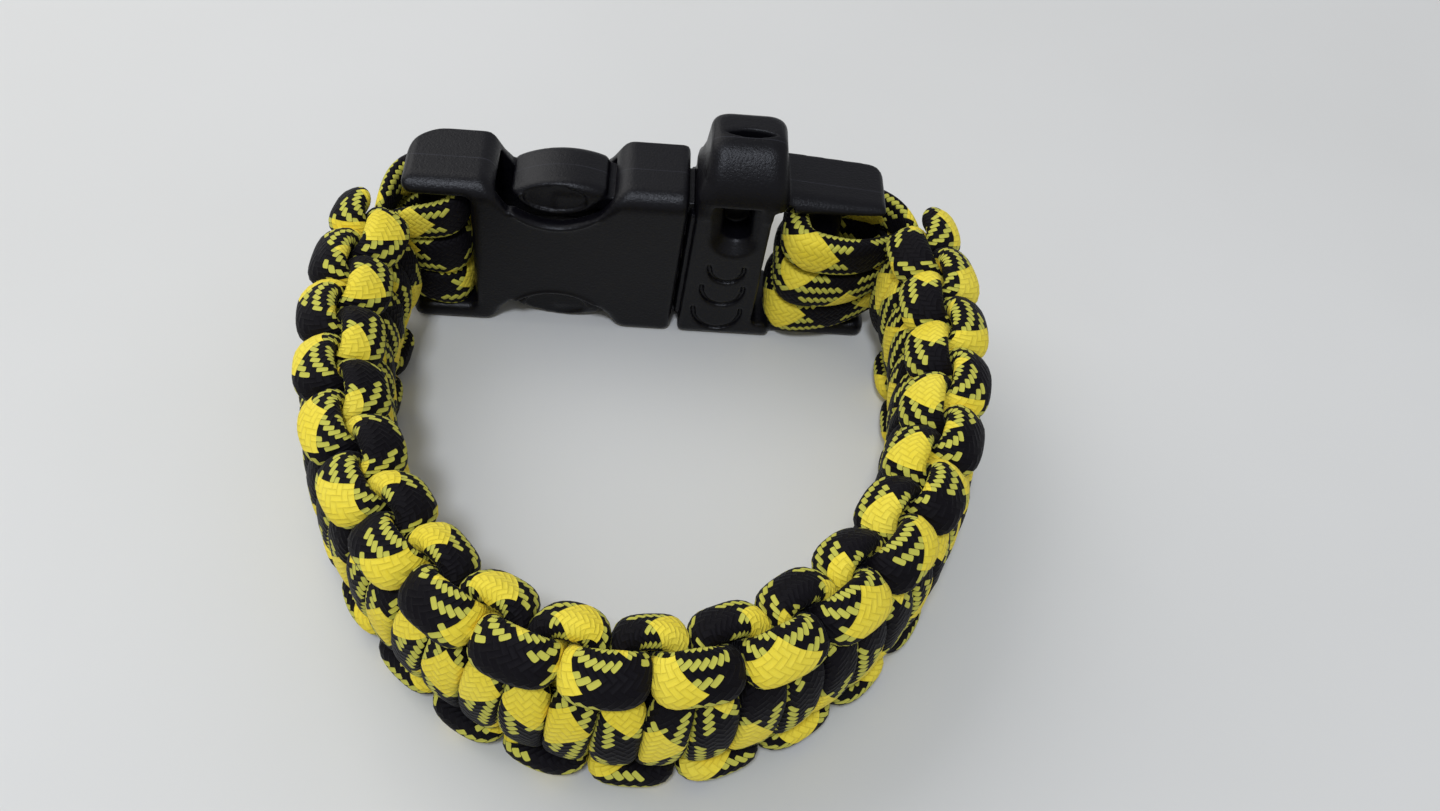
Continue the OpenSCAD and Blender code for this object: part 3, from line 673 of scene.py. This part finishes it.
def knottedCord(name, lastHalfKnot, back):
    # lastHalfKnot counts from the middle of the front and may end part way through a half knot
    build = newBuild()
    perHalf = cord["ringsPerHalfKnot"]
    plain, shrink = weave["plainKnots"], weave["tipShrink"]
    turnOver = (1, -1, -1) if back else (1, 1, 1)
    pattern = (weave["patternTurn"], 0)
    rows = [cordRing(i) for i in range(0, 2 * perHalf + 1)]
    addTube(build, [row[0] * turnOver for row in rows], [row[1] for row in rows], [pattern] * len(rows))
    last = round(lastHalfKnot * perHalf)
    for start, stop in ((plain * perHalf, last), (-last, -plain * perHalf)):
        rows = [cordRing(i) for i in range(start, stop + 1)]
        rings = [row[0] * turnOver for row in rows]
        for k, share in enumerate(shrink):
            at = k - len(shrink) if start > 0 else len(shrink) - 1 - k
            middle = rings[at].mean(axis=0)
            rings[at] = middle + share * (rings[at] - middle)
        lengths = [row[1] + plain * halfKnotSheath for row in rows]
        addTube(build, rings, lengths, [pattern] * len(rows),
                closeStart=start < 0, closeEnd=start > 0, tip=True)
    piece = cordPiece(name, build)
    modifier = piece.modifiers.new("weave", "NODES")
    modifier.node_group = knotTree
    setInputs(modifier, knotTree, {
        "Knots": plain, "Knot Length": 2 * pitch * mm, "First Knot": -plain * pitch * mm,
        "Cord In Knot": 2 * halfKnotSheath, "Ring Width": band["ringWidth"] * mm,
        "Ring Depth": band["ringDepth"] * mm, "Ring Middle": ringY * mm, "Band Height": bandZ * mm,
        "Weave Shift": band["shift"] * mm, "Weave Lean": band["lean"],
        "Unevenness": weave["unevenness"] * mm, "Seed": weave["seed"], "Finish": cordFinish})
    freeze(piece)
    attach(piece, "root")
    length = round(2 * lastHalfKnot * halfKnotCord)
    print(name, "woven:", len(piece.data.polygons), "faces,", length, "mm of cord")
    return piece


frontCord = knottedCord("frontKnots", endKnot + weave["frontEnd"], back=False)
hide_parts("front_knot_cord")
backCord = knottedCord("backKnots", endKnot + weave["backEnd"], back=True)
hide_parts("back_knot_cord")

wrap = {
    "turns": 3,
    "thick": 2.9,  # of a turn on a bar
    "barThick": 4.0,
    "barEdge": 1.2,
    "barHalf": 10.4,  # of its height
    "barGap": 0.15,
    "bendOut": 1.0,  # how much wider than the bar's own corners the turns bend
    "socketBar": (-28.6, 4.0),  # middle along X, and width
    "plugBar": (21.95, 5.0),
    "railHeight": 2.5,
    "cordGap": 0.2,
    "bundleGap": 0.1,
    # For each turn from the lowest up: how far it bows towards the wrist on each half, how far it hangs
    # there, how much thicker it is there on the plug, and its shift along the plug
    "plugBow": (1.9, 2.9, 3.0),
    "socketBow": (1.2, 1.2, 1.2),
    "sag": (1.1, 1.1, 0.3),
    "swell": (0.0, 0.2, 1.2),
    "plugSet": (-0.9, -0.15, 0.5),
    # How far each turn's pattern is turned and pushed along, on the plug's half and on the socket's
    "plugPattern": ((0.7, 9.6), (0.5, 9.0), (0.72, 8.6)),
    "socketPattern": ((0.2, 10.6), (0.65, 1.4), (0.75, 0.5)),
    "slackWithin": 4.0,  # the sag and swell are full this far on the wrist's side of the bar's middle
    "squareness": 2.5,
    "sides": 32,
    "leastStep": 0.0001,  # rows nearer than this are one
    "ringStep": 0.7,
    "runPoints": 160,
    "legPoints": 24,
    "bendPoints": 9,
    "smoothing": 3,
    "endHalfKnot": 0.4,  # the legs open this far past the weave
    "farShare": 0.3,  # how far past the bar's middle the straight stretch starts
    "outerPull": (0.45, 0.5),  # of each leg's two ends, as shares of its span
    "innerPull": (0.45, 0.25),
    "opening": 1.3,  # how slowly the turns draw together on the wrist's side
    "weld": 0.005,
}


def bezier(a, b, c, d, t):
    return (1 - t) ** 3 * a + 3 * (1 - t) ** 2 * t * b + 3 * (1 - t) * t * t * c + t ** 3 * d


def wrapLeg(direction, turn):
    # One turn round a bar, from the outer layer of the core round to the inner one.
    # Each row has a place in plan and how far the turn has opened, from 0 in the core to 1 on the bar.
    half = "plug" if direction > 0 else "socket"
    barX, barWidth = wrap[half + "Bar"]
    if direction > 0:
        barX += wrap["plugSet"][turn]
    halfX = barWidth / 2 + wrap["barGap"] + wrap["thick"] / 2
    halfY = wrap["barThick"] / 2 + wrap["barGap"] + wrap["thick"] / 2
    corner = wrap["thick"] / 2 + wrap["barGap"] + wrap["bendOut"]
    endLength = band["shift"] + direction * (endKnot + wrap["endHalfKnot"]) * pitch
    base, along, outward = onRing(endLength)
    up = direction * along
    layer = (band["coreThickness"] - wrap["cordGap"]) / 4
    outStart, inStart = base + layer * outward, base - layer * outward
    farX = barX + direction * halfX * wrap["farShare"]
    nearY = buckleY - halfY - wrap[half + "Bow"][turn]
    far, close = Vector((farX, buckleY + halfY)), Vector((farX, nearY))
    roundX = barX - direction * (halfX - corner)
    span = (far - outStart).length
    ahead = Vector((direction, 0))
    first, second = wrap["outerPull"]
    rows = []
    for t in np.linspace(0, 1, wrap["legPoints"]).tolist():
        place = bezier(outStart, outStart + first * span * up, far + second * span * ahead, far, t)
        rows.append((place, math.sqrt(t)))
    for bend in np.linspace(0, math.pi / 2, wrap["bendPoints"])[1:]:
        x = roundX - direction * corner * math.sin(bend)
        rows.append((Vector((x, buckleY + halfY - corner * (1 - math.cos(bend)))), 1.0))
    near = []
    for bend in np.linspace(math.pi / 2, 0, wrap["bendPoints"]):
        x = roundX - direction * corner * math.sin(bend)
        near.append(Vector((x, nearY + corner * (1 - math.cos(bend)))))
    first, second = wrap["innerPull"]
    for t in np.linspace(0, 1, wrap["legPoints"]).tolist():
        near.append(bezier(close, close + first * span * ahead, inStart + second * span * up, inStart, t))
    # On the wrist's side the turns draw together all the way from the slot to the weave
    lengths = np.concatenate([[0], np.cumsum([(b - a).length for a, b in zip(near, near[1:])])])
    for place, s in zip(near, lengths.tolist()):
        rows.append((place, 1 - (s / lengths[-1]) ** wrap["opening"]))
    return rows, endLength, layer


def coreTurn(build, turn):
    # A closed loop: out along the band, round the plug's bar, back inside it and round the socket's bar
    level = turn - (wrap["turns"] - 1) / 2
    slotHeight = 2 * buckleZ - 2 * wrap["railHeight"]
    wrapPitch = (slotHeight - wrap["cordGap"]) / wrap["turns"]
    bundleWidth = 2 * coreHalf - 2 * wrap["cordGap"]
    bundlePitch = bundleWidth / wrap["turns"]
    plugLeg, rightEnd, layer = wrapLeg(1, turn)
    socketLeg, leftEnd, _ = wrapLeg(-1, turn)
    runs = np.linspace(leftEnd, rightEnd, wrap["runPoints"])[1:-1]
    outer = [(onRing(s)[0] + layer * onRing(s)[2], 0.0) for s in runs]
    inner = [(onRing(s)[0] - layer * onRing(s)[2], 0.0) for s in runs[::-1]]
    rows = outer + plugLeg + inner + socketLeg[::-1]
    plan = np.array([(row[0].x, row[0].y, row[1]) for row in rows])
    plan = np.concatenate([plan, plan[:1]])
    steps = np.linalg.norm(np.diff(plan[:, :2], axis=0), axis=1)
    plan = plan[np.concatenate([[True], steps > wrap["leastStep"]])]
    lengths = lengthsUpTo(plan[:, :2])
    count = int(lengths[-1] / wrap["ringStep"])
    at = np.linspace(0, lengths[-1], count + 1)
    path = np.stack([np.interp(at, lengths, plan[:, c]) for c in range(3)], -1)[:-1]
    for _ in range(wrap["smoothing"]):
        path = 0.25 * np.roll(path, 1, 0) + 0.5 * path + 0.25 * np.roll(path, -1, 0)
    ahead = unitRows(np.roll(path, -1, 0)[:, :2] - np.roll(path, 1, 0)[:, :2])
    angles = tau * (np.arange(wrap["sides"]) + 0.5) / wrap["sides"]
    oval = superOval(angles, 1, 1, wrap["squareness"])
    rings = []
    for (x, y, opened), (dx, dy) in zip(path, ahead):
        z = (1 - opened) * (bandZ + level * bundlePitch) + opened * (buckleZ + level * wrapPitch)
        slack = opened * float(np.clip((buckleY - y) / wrap["slackWithin"], 0, 1))
        z -= wrap["sag"][turn] * slack
        thick = (1 - opened) * (band["coreThickness"] / 2 - wrap["cordGap"]) + opened * wrap["thick"]
        thick += wrap["swell"][turn] * slack * (x > 0)
        wide = (1 - opened) * (bundlePitch - wrap["bundleGap"]) + opened * (wrapPitch - wrap["cordGap"] / 2)
        outward = np.cos(angles) * oval * thick / 2
        upward = np.sin(angles) * oval * wide / 2
        rings.append(np.stack([x + dy * outward, y - dx * outward, z + upward], -1))
    rings.append(rings[0])
    # The two halves' patterns change over at the front, inside the weave where the core is out of sight
    onPlug, onSocket = wrap["plugPattern"][turn], wrap["socketPattern"][turn]
    pattern = [onPlug if ring[0][0] > 0 else onSocket for ring in rings]
    addTube(build, rings, at.tolist(), pattern)
    print("core turn", turn + 1, "takes", round(lengths[-1]), "mm of cord")


def coreWraps():
    build = newBuild()
    for turn in range(wrap["turns"]):
        coreTurn(build, turn)
    piece = cordPiece("coreWraps", build)
    shape = bmesh.new()
    shape.from_mesh(piece.data)
    bmesh.ops.remove_doubles(shape, verts=shape.verts, dist=wrap["weld"] * mm)
    bmesh.ops.recalc_face_normals(shape, faces=shape.faces)
    shape.to_mesh(piece.data)
    shape.free()
    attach(piece, "root")
    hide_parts("core_cord")
    print("core wound round both bars:", len(piece.data.polygons), "faces")


coreWraps()


# The buckle's halves are drawn as distance fields in millimetres, each below zero inside its shape.
def roundBox(point, low, high, radius):
    beyond, deepest = 0.0, -1e9
    for c, a, b in zip(point, low, high):
        q = np.abs(c - (a + b) / 2) - (b - a) / 2 + radius
        beyond = beyond + np.maximum(q, 0) ** 2
        deepest = np.maximum(deepest, q)
    return np.sqrt(beyond) + np.minimum(deepest, 0) - radius


def blend(a, b, soft):
    share = np.clip(0.5 + 0.5 * (b - a) / soft, 0, 1)
    return b + (a - b) * share - soft * share * (1 - share)


def meet(a, b, soft):
    return -blend(-a, -b, soft)


def carve(a, b, soft):
    return -blend(-a, b, soft)


def besideLine(x, z, start, end):
    # How far a place lies to the right of the way from start to end
    run, rise = end[0] - start[0], end[1] - start[1]
    return ((x - start[0]) * rise - (z - start[1]) * run) / math.hypot(run, rise)


def lensShape(x, y, length, width):
    # The pointed oval where two circles overlap
    radius = (length ** 2 + width ** 2) / (4 * width)
    return np.hypot(x, np.abs(y) + radius - width / 2) - radius


def skin(form, low, high, cell):
    # One point in each grid cell that the surface crosses, and one face for each grid edge
    # that it crosses
    axes = [np.arange(a - 2 * cell, b + 3 * cell, cell) for a, b in zip(low, high)]
    field = form(*np.meshgrid(*axes, indexing="ij"))
    inside = field < 0
    size = np.array(field.shape)
    total = np.zeros((*(size - 1), 3))
    count = np.zeros(size - 1)
    crossings = []
    for axis in range(3):
        order = (axis, (axis + 1) % 3, (axis + 2) % 3)
        back = np.argsort(order)
        turned, solid = field.transpose(order), inside.transpose(order)
        crossed = solid[:-1] != solid[1:]
        share = np.where(crossed, turned[:-1] / np.where(crossed, turned[:-1] - turned[1:], 1), 0)
        for i in (0, 1):
            for j in (0, 1):
                corner = (slice(None), slice(i, i - 1 or None), slice(j, j - 1 or None))
                hit = crossed[corner]
                place = np.stack([share[corner], i * hit, j * hit], -1)[..., back]
                total += place.transpose(*back, 3)
                count += hit.transpose(back)
        crossings.append((order, crossed[:, 1:-1, 1:-1], solid[:-1, 1:-1, 1:-1]))
    used = count > 0
    numbers = np.full(used.shape, -1)
    numbers[used] = np.arange(used.sum())
    steps = np.stack(np.nonzero(used), -1) + total[used] / count[used][:, None]
    faces = []
    for order, crossed, solid in crossings:
        cells = numbers.transpose(order)
        i, j, k = np.nonzero(crossed)
        corners = (cells[i, j, k], cells[i, j + 1, k], cells[i, j + 1, k + 1], cells[i, j, k + 1])
        quads = np.stack(corners, -1)
        faces.append(np.where(solid[i, j, k][:, None], quads, quads[:, ::-1]))
    return steps * cell + [axis[0] for axis in axes], np.concatenate(faces)


moulding = {
    "cell": 0.23,  # grid that the halves are drawn on
    "height": 24.0,
    "edge": 3.0,  # radius of the upper long edge on the wrist's side,
    "foot": 1.2,  # of the lower one
    "outer": 0.5,  # and of both on the outer side
    "corner": 1.5,  # radius of the ends' upper and lower corners,
    "planNear": 2.0,  # and seen from above, on the wrist's side
    "planOuter": (5.5, 3.0),  # and on the outer side of the socket and the whistle half
    "soft": 0.3,  # how softly most shapes run into each other
    "seam": 3.6,  # place of the socket's right face at half height,
    "seamLean": 0.058,  # its lean, as a share of the height,
    "seamGap": 1.05,  # and from it to the whistle half
    "seamEdges": (1.1, 0.9),  # softness of its edges on the socket and the whistle half
    "slot": (2.5, 21.5),  # heights of the cord slots
    "slotEdge": 1.5,
    "endless": 80.0,  # well outside the buckle
}


def mirrored(z):
    return buckleZ + np.abs(z - buckleZ)


def longEdges(y, z, near, far):
    # The long body's section, with its own radius on each edge
    top, away = moulding["height"], moulding["endless"]
    upper = roundBox((y, z), (near, -away), (away, top), moulding["edge"])
    lower = roundBox((y, z), (near, 0), (away, away), moulding["foot"])
    return np.maximum(np.maximum(upper, lower), roundBox((y, z), (-away, 0), (far, top), moulding["outer"]))


def planEdges(x, y, left, right, near, far, outer):
    away = moulding["endless"]
    return np.maximum(roundBox((x, y), (left, near), (right, away), moulding["planNear"]),
                      roundBox((x, y), (left, -away), (right, far), outer))


def crossBar(x, y, z, place):
    # The bar in a cord slot
    middle, width = place
    low = (middle - width / 2, buckleY - wrap["barThick"] / 2)
    high = (middle + width / 2, buckleY + wrap["barThick"] / 2)
    return np.maximum(roundBox((x, y), low, high, wrap["barEdge"]), np.abs(z - buckleZ) - wrap["barHalf"])


# The release notches are circles round a place above the buckle, with a straight flare on each side
notch = {
    "middle": -12.6,
    "height": 25.44,
    "radius": 7.35,
    "bevel": 0.35,  # at the buckle's faces, and its depth
    "bevelDeep": 0.35,
    "leftFlare": ((-21.2, 24.0), (-18.5, 19.6)),
    "rightFlare": ((-6.6, 21.0), (-4.4, 23.8)),
    "flareFoot": 20.0,
    "flareSoft": 1.4,
    "edge": (0.2, 1.05),  # softness of the notch's edge low down, and what it gains further up
    "edgeRise": (19.4, 2.0),  # from this height on, and within this rise
    "lipOut": 0.45,  # a fine lip follows the edge at this distance
    "lipSize": 0.24,
    "lipTop": 20.6,
    "lipSoft": 0.15,
}


def notchForm(x, y, up):
    faceDepth = np.minimum(y - innerFace, outerFace - y)
    bevel = notch["bevel"] * np.clip(1 - faceDepth / notch["bevelDeep"], 0, 1)
    cup = np.hypot(x - notch["middle"], up - notch["height"]) - notch["radius"]
    flare = np.maximum(besideLine(x, up, *notch["leftFlare"]), besideLine(x, up, *notch["rightFlare"]))
    return blend(cup - bevel, np.maximum(flare, notch["flareFoot"] - up), notch["flareSoft"]), cup


socketHalf = {
    "left": -32,
    "right": 3.8,  # at the top of its leaning face
    "slotRight": -23.4,
    "slotCorner": 1.0,
    "hollow": (-21.6, 30),  # its two ends, the right one well past the open face
    "wall": 1.8,
    "hollowCorner": 0.5,
}


def socketForm(x, y, z):
    up = mirrored(z)
    left, top, away, soft = socketHalf["left"], moulding["height"], moulding["endless"], moulding["soft"]
    ends = roundBox((x, z), (left, 0), (away, top), moulding["corner"])
    body = meet(longEdges(y, z, innerFace, outerFace), ends, soft)
    body = meet(body, planEdges(x, y, left, away, innerFace, outerFace, moulding["planOuter"][0]), soft)
    leaning = x - moulding["seam"] - moulding["seamLean"] * (z - buckleZ)
    body = meet(body, leaning, moulding["seamEdges"][0])
    hole, cup = notchForm(x, y, up)
    low, gain = notch["edge"]
    start, rise = notch["edgeRise"]
    body = carve(body, hole, low + gain * np.clip((up - start) / rise, 0, 1))
    lip = np.hypot(cup - notch["lipOut"], body) - notch["lipSize"] * np.clip(notch["lipTop"] - up, 0, 1)
    body = blend(body, lip, notch["lipSoft"])
    wall, ends = socketHalf["wall"], socketHalf["hollow"]
    hollow = roundBox((x, y, z), (ends[0], innerFace + wall, wall), (ends[1], outerFace - wall, top - wall),
                      socketHalf["hollowCorner"])
    body = carve(body, hollow, soft)
    low, high = moulding["slot"]
    slot = roundBox((x, z), (-away, low), (socketHalf["slotRight"], high), socketHalf["slotCorner"])
    body = carve(body, slot, moulding["slotEdge"])
    return blend(body, crossBar(x, y, z, wrap["socketBar"]), soft)


pad = {
    "set": 1.6,  # in from the buckle's faces
    "gap": 0.3,  # smaller than the notch all round
    "raised": 0.1,
    "upper": (-11.4, 11.1, 12.8),  # middle and radius of its upper arc
    "tipSoft": 0.6,
    "edge": 1.5,
    "recess": (4.1, 1.9, 0.45),  # half length, half height and depth
    "recessHeight": 21.4,
    "rim": (0.25, 0.22),  # distance from the recess, and radius
    "rimTop": 22.3,
    "rimIn": 0.14,  # from the pad's own outline
    "recessSoft": 0.2,
    "rimSoft": 0.1,
    "armSoft": 1.0,
}


def padForm(x, y, up):
    # The release pad: a lens with an oval recess on each face, inside a raised rim on the wrist's side
    middle, face = notch["middle"], innerFace + pad["set"]
    upperX, upperZ, upperRadius = pad["upper"]
    form = meet(np.hypot(x - middle, up - notch["height"] - pad["raised"]) - notch["radius"] + pad["gap"],
                np.hypot(x - upperX, up - upperZ) - upperRadius, pad["tipSoft"])
    fromFace = np.abs(y - buckleY) - (buckleY - face)
    form = meet(form, fromFace, pad["edge"])
    halfLong, halfHigh, deep = pad["recess"]
    oval = (np.hypot((x - middle) / halfLong, (up - pad["recessHeight"]) / halfHigh) - 1) * halfHigh
    out, radius = pad["rim"]
    rim = np.hypot(oval - out, y - face) - radius * np.clip(pad["rimTop"] - up, 0, 1)
    rim = np.maximum(rim, form - pad["rimIn"])
    form = carve(form, np.maximum(oval, -fromFace - deep), pad["recessSoft"])
    return blend(form, rim, pad["rimSoft"])


whistle = {
    "left": -19.5,  # of the pads
    "right": 30,
    "blockRight": 16.6,
    "railsLeft": 8,
    "railFall": (17, 0.004),  # the rails' upper side falls a little from here to their end
    "railSet": (1, 0.1),  # in from the inner and the outer face
    "slotLeft": 14,
    "slotLean": 0.053,
    "slotCorner": 0.9,
    "slotLeftSoft": 0.4,
    "slotNook": ((14, 12), (16.6, 22.7)),  # the cord slot is higher beside the whistle
    "nookCorner": 0.5,
    # The mouthpiece's sides, as rows of height and place
    "mouthLeft": ((20, 23.6, 25.9, 30.2), (5.05, 5.1, 6.0, 6.6)),
    "mouthRight": ((20, 24, 30.2), (16.6, 16.85, 16.0)),
    "mouthFar": ((20, 22.0, 30.2), (0, 0, -0.5)),  # from the outer face
    "mouthNear": (22.0, 8.2, 4.9, 2.2),  # height it leans from, rise, set back and bend
    "mouthTop": 30.2,
    "mouthFoot": 21.2,
    "mouthJoin": 0.4,  # softness where it meets the block
    "mouthSoft": (0.5, 1.0, 2.2, 1.3),  # of its sides, its faces, its corners and its top
    "blowSlot": (6.4, 1.5),
    # The airway's heights, places along X and depths behind the inner face
    "airway": ((19, 30.2), (10.5, 11.5), (4.3, 6.7)),
    "window": (10.4, 18.3, 3.4, 23.07),  # middle, height of the round foot's middle, radius, top
    "windowSlope": 1.25,
    "windowDeep": 5.0,
    "windowHole": (10.6, 18.6, 1.8),  # middle, height of its round foot's middle, radius
    "windowSoft": (0.4, 0.25),  # round the hole, and at the face
    # Each groove's middle, lowest point, radius and height of its arms
    "grooves": ((9.9, 10.3, 2.3, 0.5), (9.6, 6.1, 2.8, 0.6), (9.2, 1.5, 3.2, 0.6)),
    "grooveWide": 0.5,
    "grooveDeep": 0.5,
    "grooveSoft": 0.12,
}

# The parts that enter the socket: left and right end, lowest and highest place, and edge radius
fitting = {
    "flange": (-0.7, 1.5, 3, 21, 0.3),  # along X from the seam
    "neck": (1.2, 6, 2.15, 21.85, 0.3),
    "guide": (-16.6, 6, 10, 14, 0.5),
    "arm": (-12.6, 6, 19.65, 21.85, 0.3),
    "flangeSet": 0.9,  # in from the buckle's faces
    "neckSet": 2.15,  # the arms' too
    "guideHalf": 1.5,
}


def mouthForm(x, y, z):
    left, right, far = [np.interp(z, *whistle["mouth" + side]) for side in ("Left", "Right", "Far")]
    foot, rise, back, bend = whistle["mouthNear"]
    near = back * np.clip((z - foot) / rise, 0, 1) ** bend
    sideSoft, faceSoft, cornerSoft, topSoft = whistle["mouthSoft"]
    sides = meet(left - x, x - right, sideSoft)
    depth = meet(innerFace + near - y, y - outerFace - far, faceSoft)
    mouth = meet(meet(sides, depth, cornerSoft), z - whistle["mouthTop"], topSoft)
    return np.maximum(mouth, whistle["mouthFoot"] - z)


def soundWindow(x, y, z):
    # A scoop that slopes in, with a deeper hole, below a straight lintel
    middle, foot, radius, lintel = whistle["window"]
    scoop = np.hypot(x - middle, z - np.maximum(z, foot)) - radius + whistle["windowSlope"] * (y - innerFace)
    middle, foot, radius = whistle["windowHole"]
    hole = np.hypot(x - middle, z - np.maximum(z, foot)) - radius
    scoop = blend(scoop, hole, whistle["windowSoft"][0])
    return np.maximum(scoop, np.maximum(z - lintel, y - innerFace - whistle["windowDeep"]))


def gripGroove(x, y, z, middle, lowest, radius, arm):
    height = z - lowest - radius
    ring = np.abs(np.hypot(x - middle, np.minimum(height, 0)) - radius) - whistle["grooveWide"] / 2
    return np.maximum(np.maximum(ring, height - arm), y - innerFace - whistle["grooveDeep"])


def fittingBox(point, name, near, far):
    left, right, low, high, radius = fitting[name]
    return roundBox(point, (left, near, low), (right, far, high), radius)


def whistleForm(x, y, z):
    up = mirrored(z)
    top, soft, right = moulding["height"], moulding["soft"], whistle["right"]
    seam = moulding["seam"] + moulding["seamGap"] + moulding["seamLean"] * (z - buckleZ)
    block = np.maximum(seam - x, x - whistle["blockRight"])
    block = meet(longEdges(y, z, innerFace, outerFace), block, moulding["seamEdges"][1])
    start, fall = whistle["railFall"]
    tall = z * (1 + fall * np.maximum(x - start, 0))
    near, far = innerFace + whistle["railSet"][0], outerFace - whistle["railSet"][1]
    ends = roundBox((x, tall), (0, 0), (right, top), moulding["corner"])
    rails = meet(longEdges(y, tall, near, far), ends, soft)
    plan = planEdges(x, y, whistle["railsLeft"], right, near, far, moulding["planOuter"][1])
    body = blend(blend(block, meet(rails, plan, soft), soft), mouthForm(x, y, z), whistle["mouthJoin"])
    low, high = moulding["slot"]
    left = whistle["slotLeft"]
    leaning = x - whistle["slotLean"] * (z - low)
    slot = roundBox((leaning, z), (left, low), (2 * right, high), whistle["slotCorner"])
    body = carve(body, slot, np.clip((x - left) / 2, whistle["slotLeftSoft"], moulding["slotEdge"]))
    body = carve(body, roundBox((leaning, z), *whistle["slotNook"], whistle["nookCorner"]), soft)
    # The way from the blow slot down to the window
    heights, across, inwards = whistle["airway"]
    airX, airY = np.interp(z, heights, across), innerFace + np.interp(z, heights, inwards)
    airway = np.maximum(lensShape(x - airX, y - airY, *whistle["blowSlot"]), heights[0] - z)
    body = carve(body, airway, soft)
    body = carve(body, soundWindow(x, y, z), whistle["windowSoft"][1])
    for groove in whistle["grooves"]:
        body = carve(body, gripGroove(x, y, z, *groove), whistle["grooveSoft"])
    body = blend(body, crossBar(x, y, z, wrap["plugBar"]), soft)
    near, far = innerFace + fitting["flangeSet"], outerFace - fitting["flangeSet"]
    body = np.minimum(body, fittingBox((x - seam, y, z), "flange", near, far))
    near, far = innerFace + fitting["neckSet"], outerFace - fitting["neckSet"]
    body = np.minimum(body, fittingBox((x, y, z), "neck", near, far))
    arm = fittingBox((x, y, up), "arm", near, far)
    near, far = buckleY - fitting["guideHalf"], buckleY + fitting["guideHalf"]
    body = np.minimum(body, fittingBox((x, y, z), "guide", near, far))
    return np.minimum(body, blend(arm, padForm(x, y, up), pad["armSoft"]))


def mouldedHalf(name, form, low, high, node, finish):
    points, faces = skin(form, low, high, moulding["cell"])
    piece = newPiece(name, (points * mm).tolist(), faces.tolist(), finish)
    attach(piece, "root")
    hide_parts(node)
    print(name, "moulded:", len(piece.data.polygons), "faces")


mouldedHalf("socketShell", socketForm, (socketHalf["left"], innerFace, 0),
            (socketHalf["right"], outerFace, moulding["height"]),
            "buckle_socket", socketFinish)
mouldedHalf("whistleShell", whistleForm, (whistle["left"], innerFace, 0),
            (whistle["right"], outerFace, whistle["mouthTop"]),
            "buckle_plug", whistleFinish)

table = {
    "half": 1.2,  # metres
    "colour": paint(224, 223, 219),
    "spot": paint(210, 209, 204),
    "spotNoise": (9.0, 4.0),
    "roughness": 0.55,
    "specular": 0.3,
}


def paleTable():
    material, tree, shader = newMaterial("paleTable", table["specular"])
    cloud = noise(tree, objectPlace(tree), *table["spotNoise"])
    wire(tree, shader.inputs["Base Color"], mixColour(tree, cloud, table["colour"], table["spot"]))
    shader.inputs["Roughness"].default_value = table["roughness"]
    half = table["half"]
    corners = [(-half, -half, 0), (half, -half, 0), (half, half, 0), (-half, half, 0)]
    newPiece("tableTop", corners, [(0, 1, 2, 3)], material)


# Each light: place in metres, the point it faces, size, power and colour
lights = {
    "windowSide": ((-0.36, 0.3, 0.44), (0, 0, 0.01), 0.6, 1.9, (1.0, 0.99, 0.97)),
    "aboveFront": ((-0.1, -0.42, 0.85), (0, 0.02, 0.02), 0.13, 3.8, (0.82, 0.88, 1.0)),
}
room = {"colour": (0.93, 0.95, 1.0, 1.0), "strength": 0.44}


def makeLights():
    for name, (place, target, size, power, colour) in lights.items():
        lamp = bpy.data.lights.new(name, "AREA")
        lamp.size = size
        lamp.energy = power
        lamp.color = colour
        holder = bpy.data.objects.new(name, lamp)
        aim = (Vector(target) - Vector(place)).to_track_quat("-Z", "Y")
        holder.matrix_world = Matrix.Translation(Vector(place)) @ aim.to_matrix().to_4x4()
        scene.collection.objects.link(holder)
    world = bpy.data.worlds.new("softRoom")
    world.use_nodes = True
    background = world.node_tree.nodes["Background"]
    background.inputs["Color"].default_value = room["colour"]
    background.inputs["Strength"].default_value = room["strength"]
    scene.world = world
    scene.view_settings.view_transform = "Standard"


paleTable()
makeLights()
print("table and lights set")
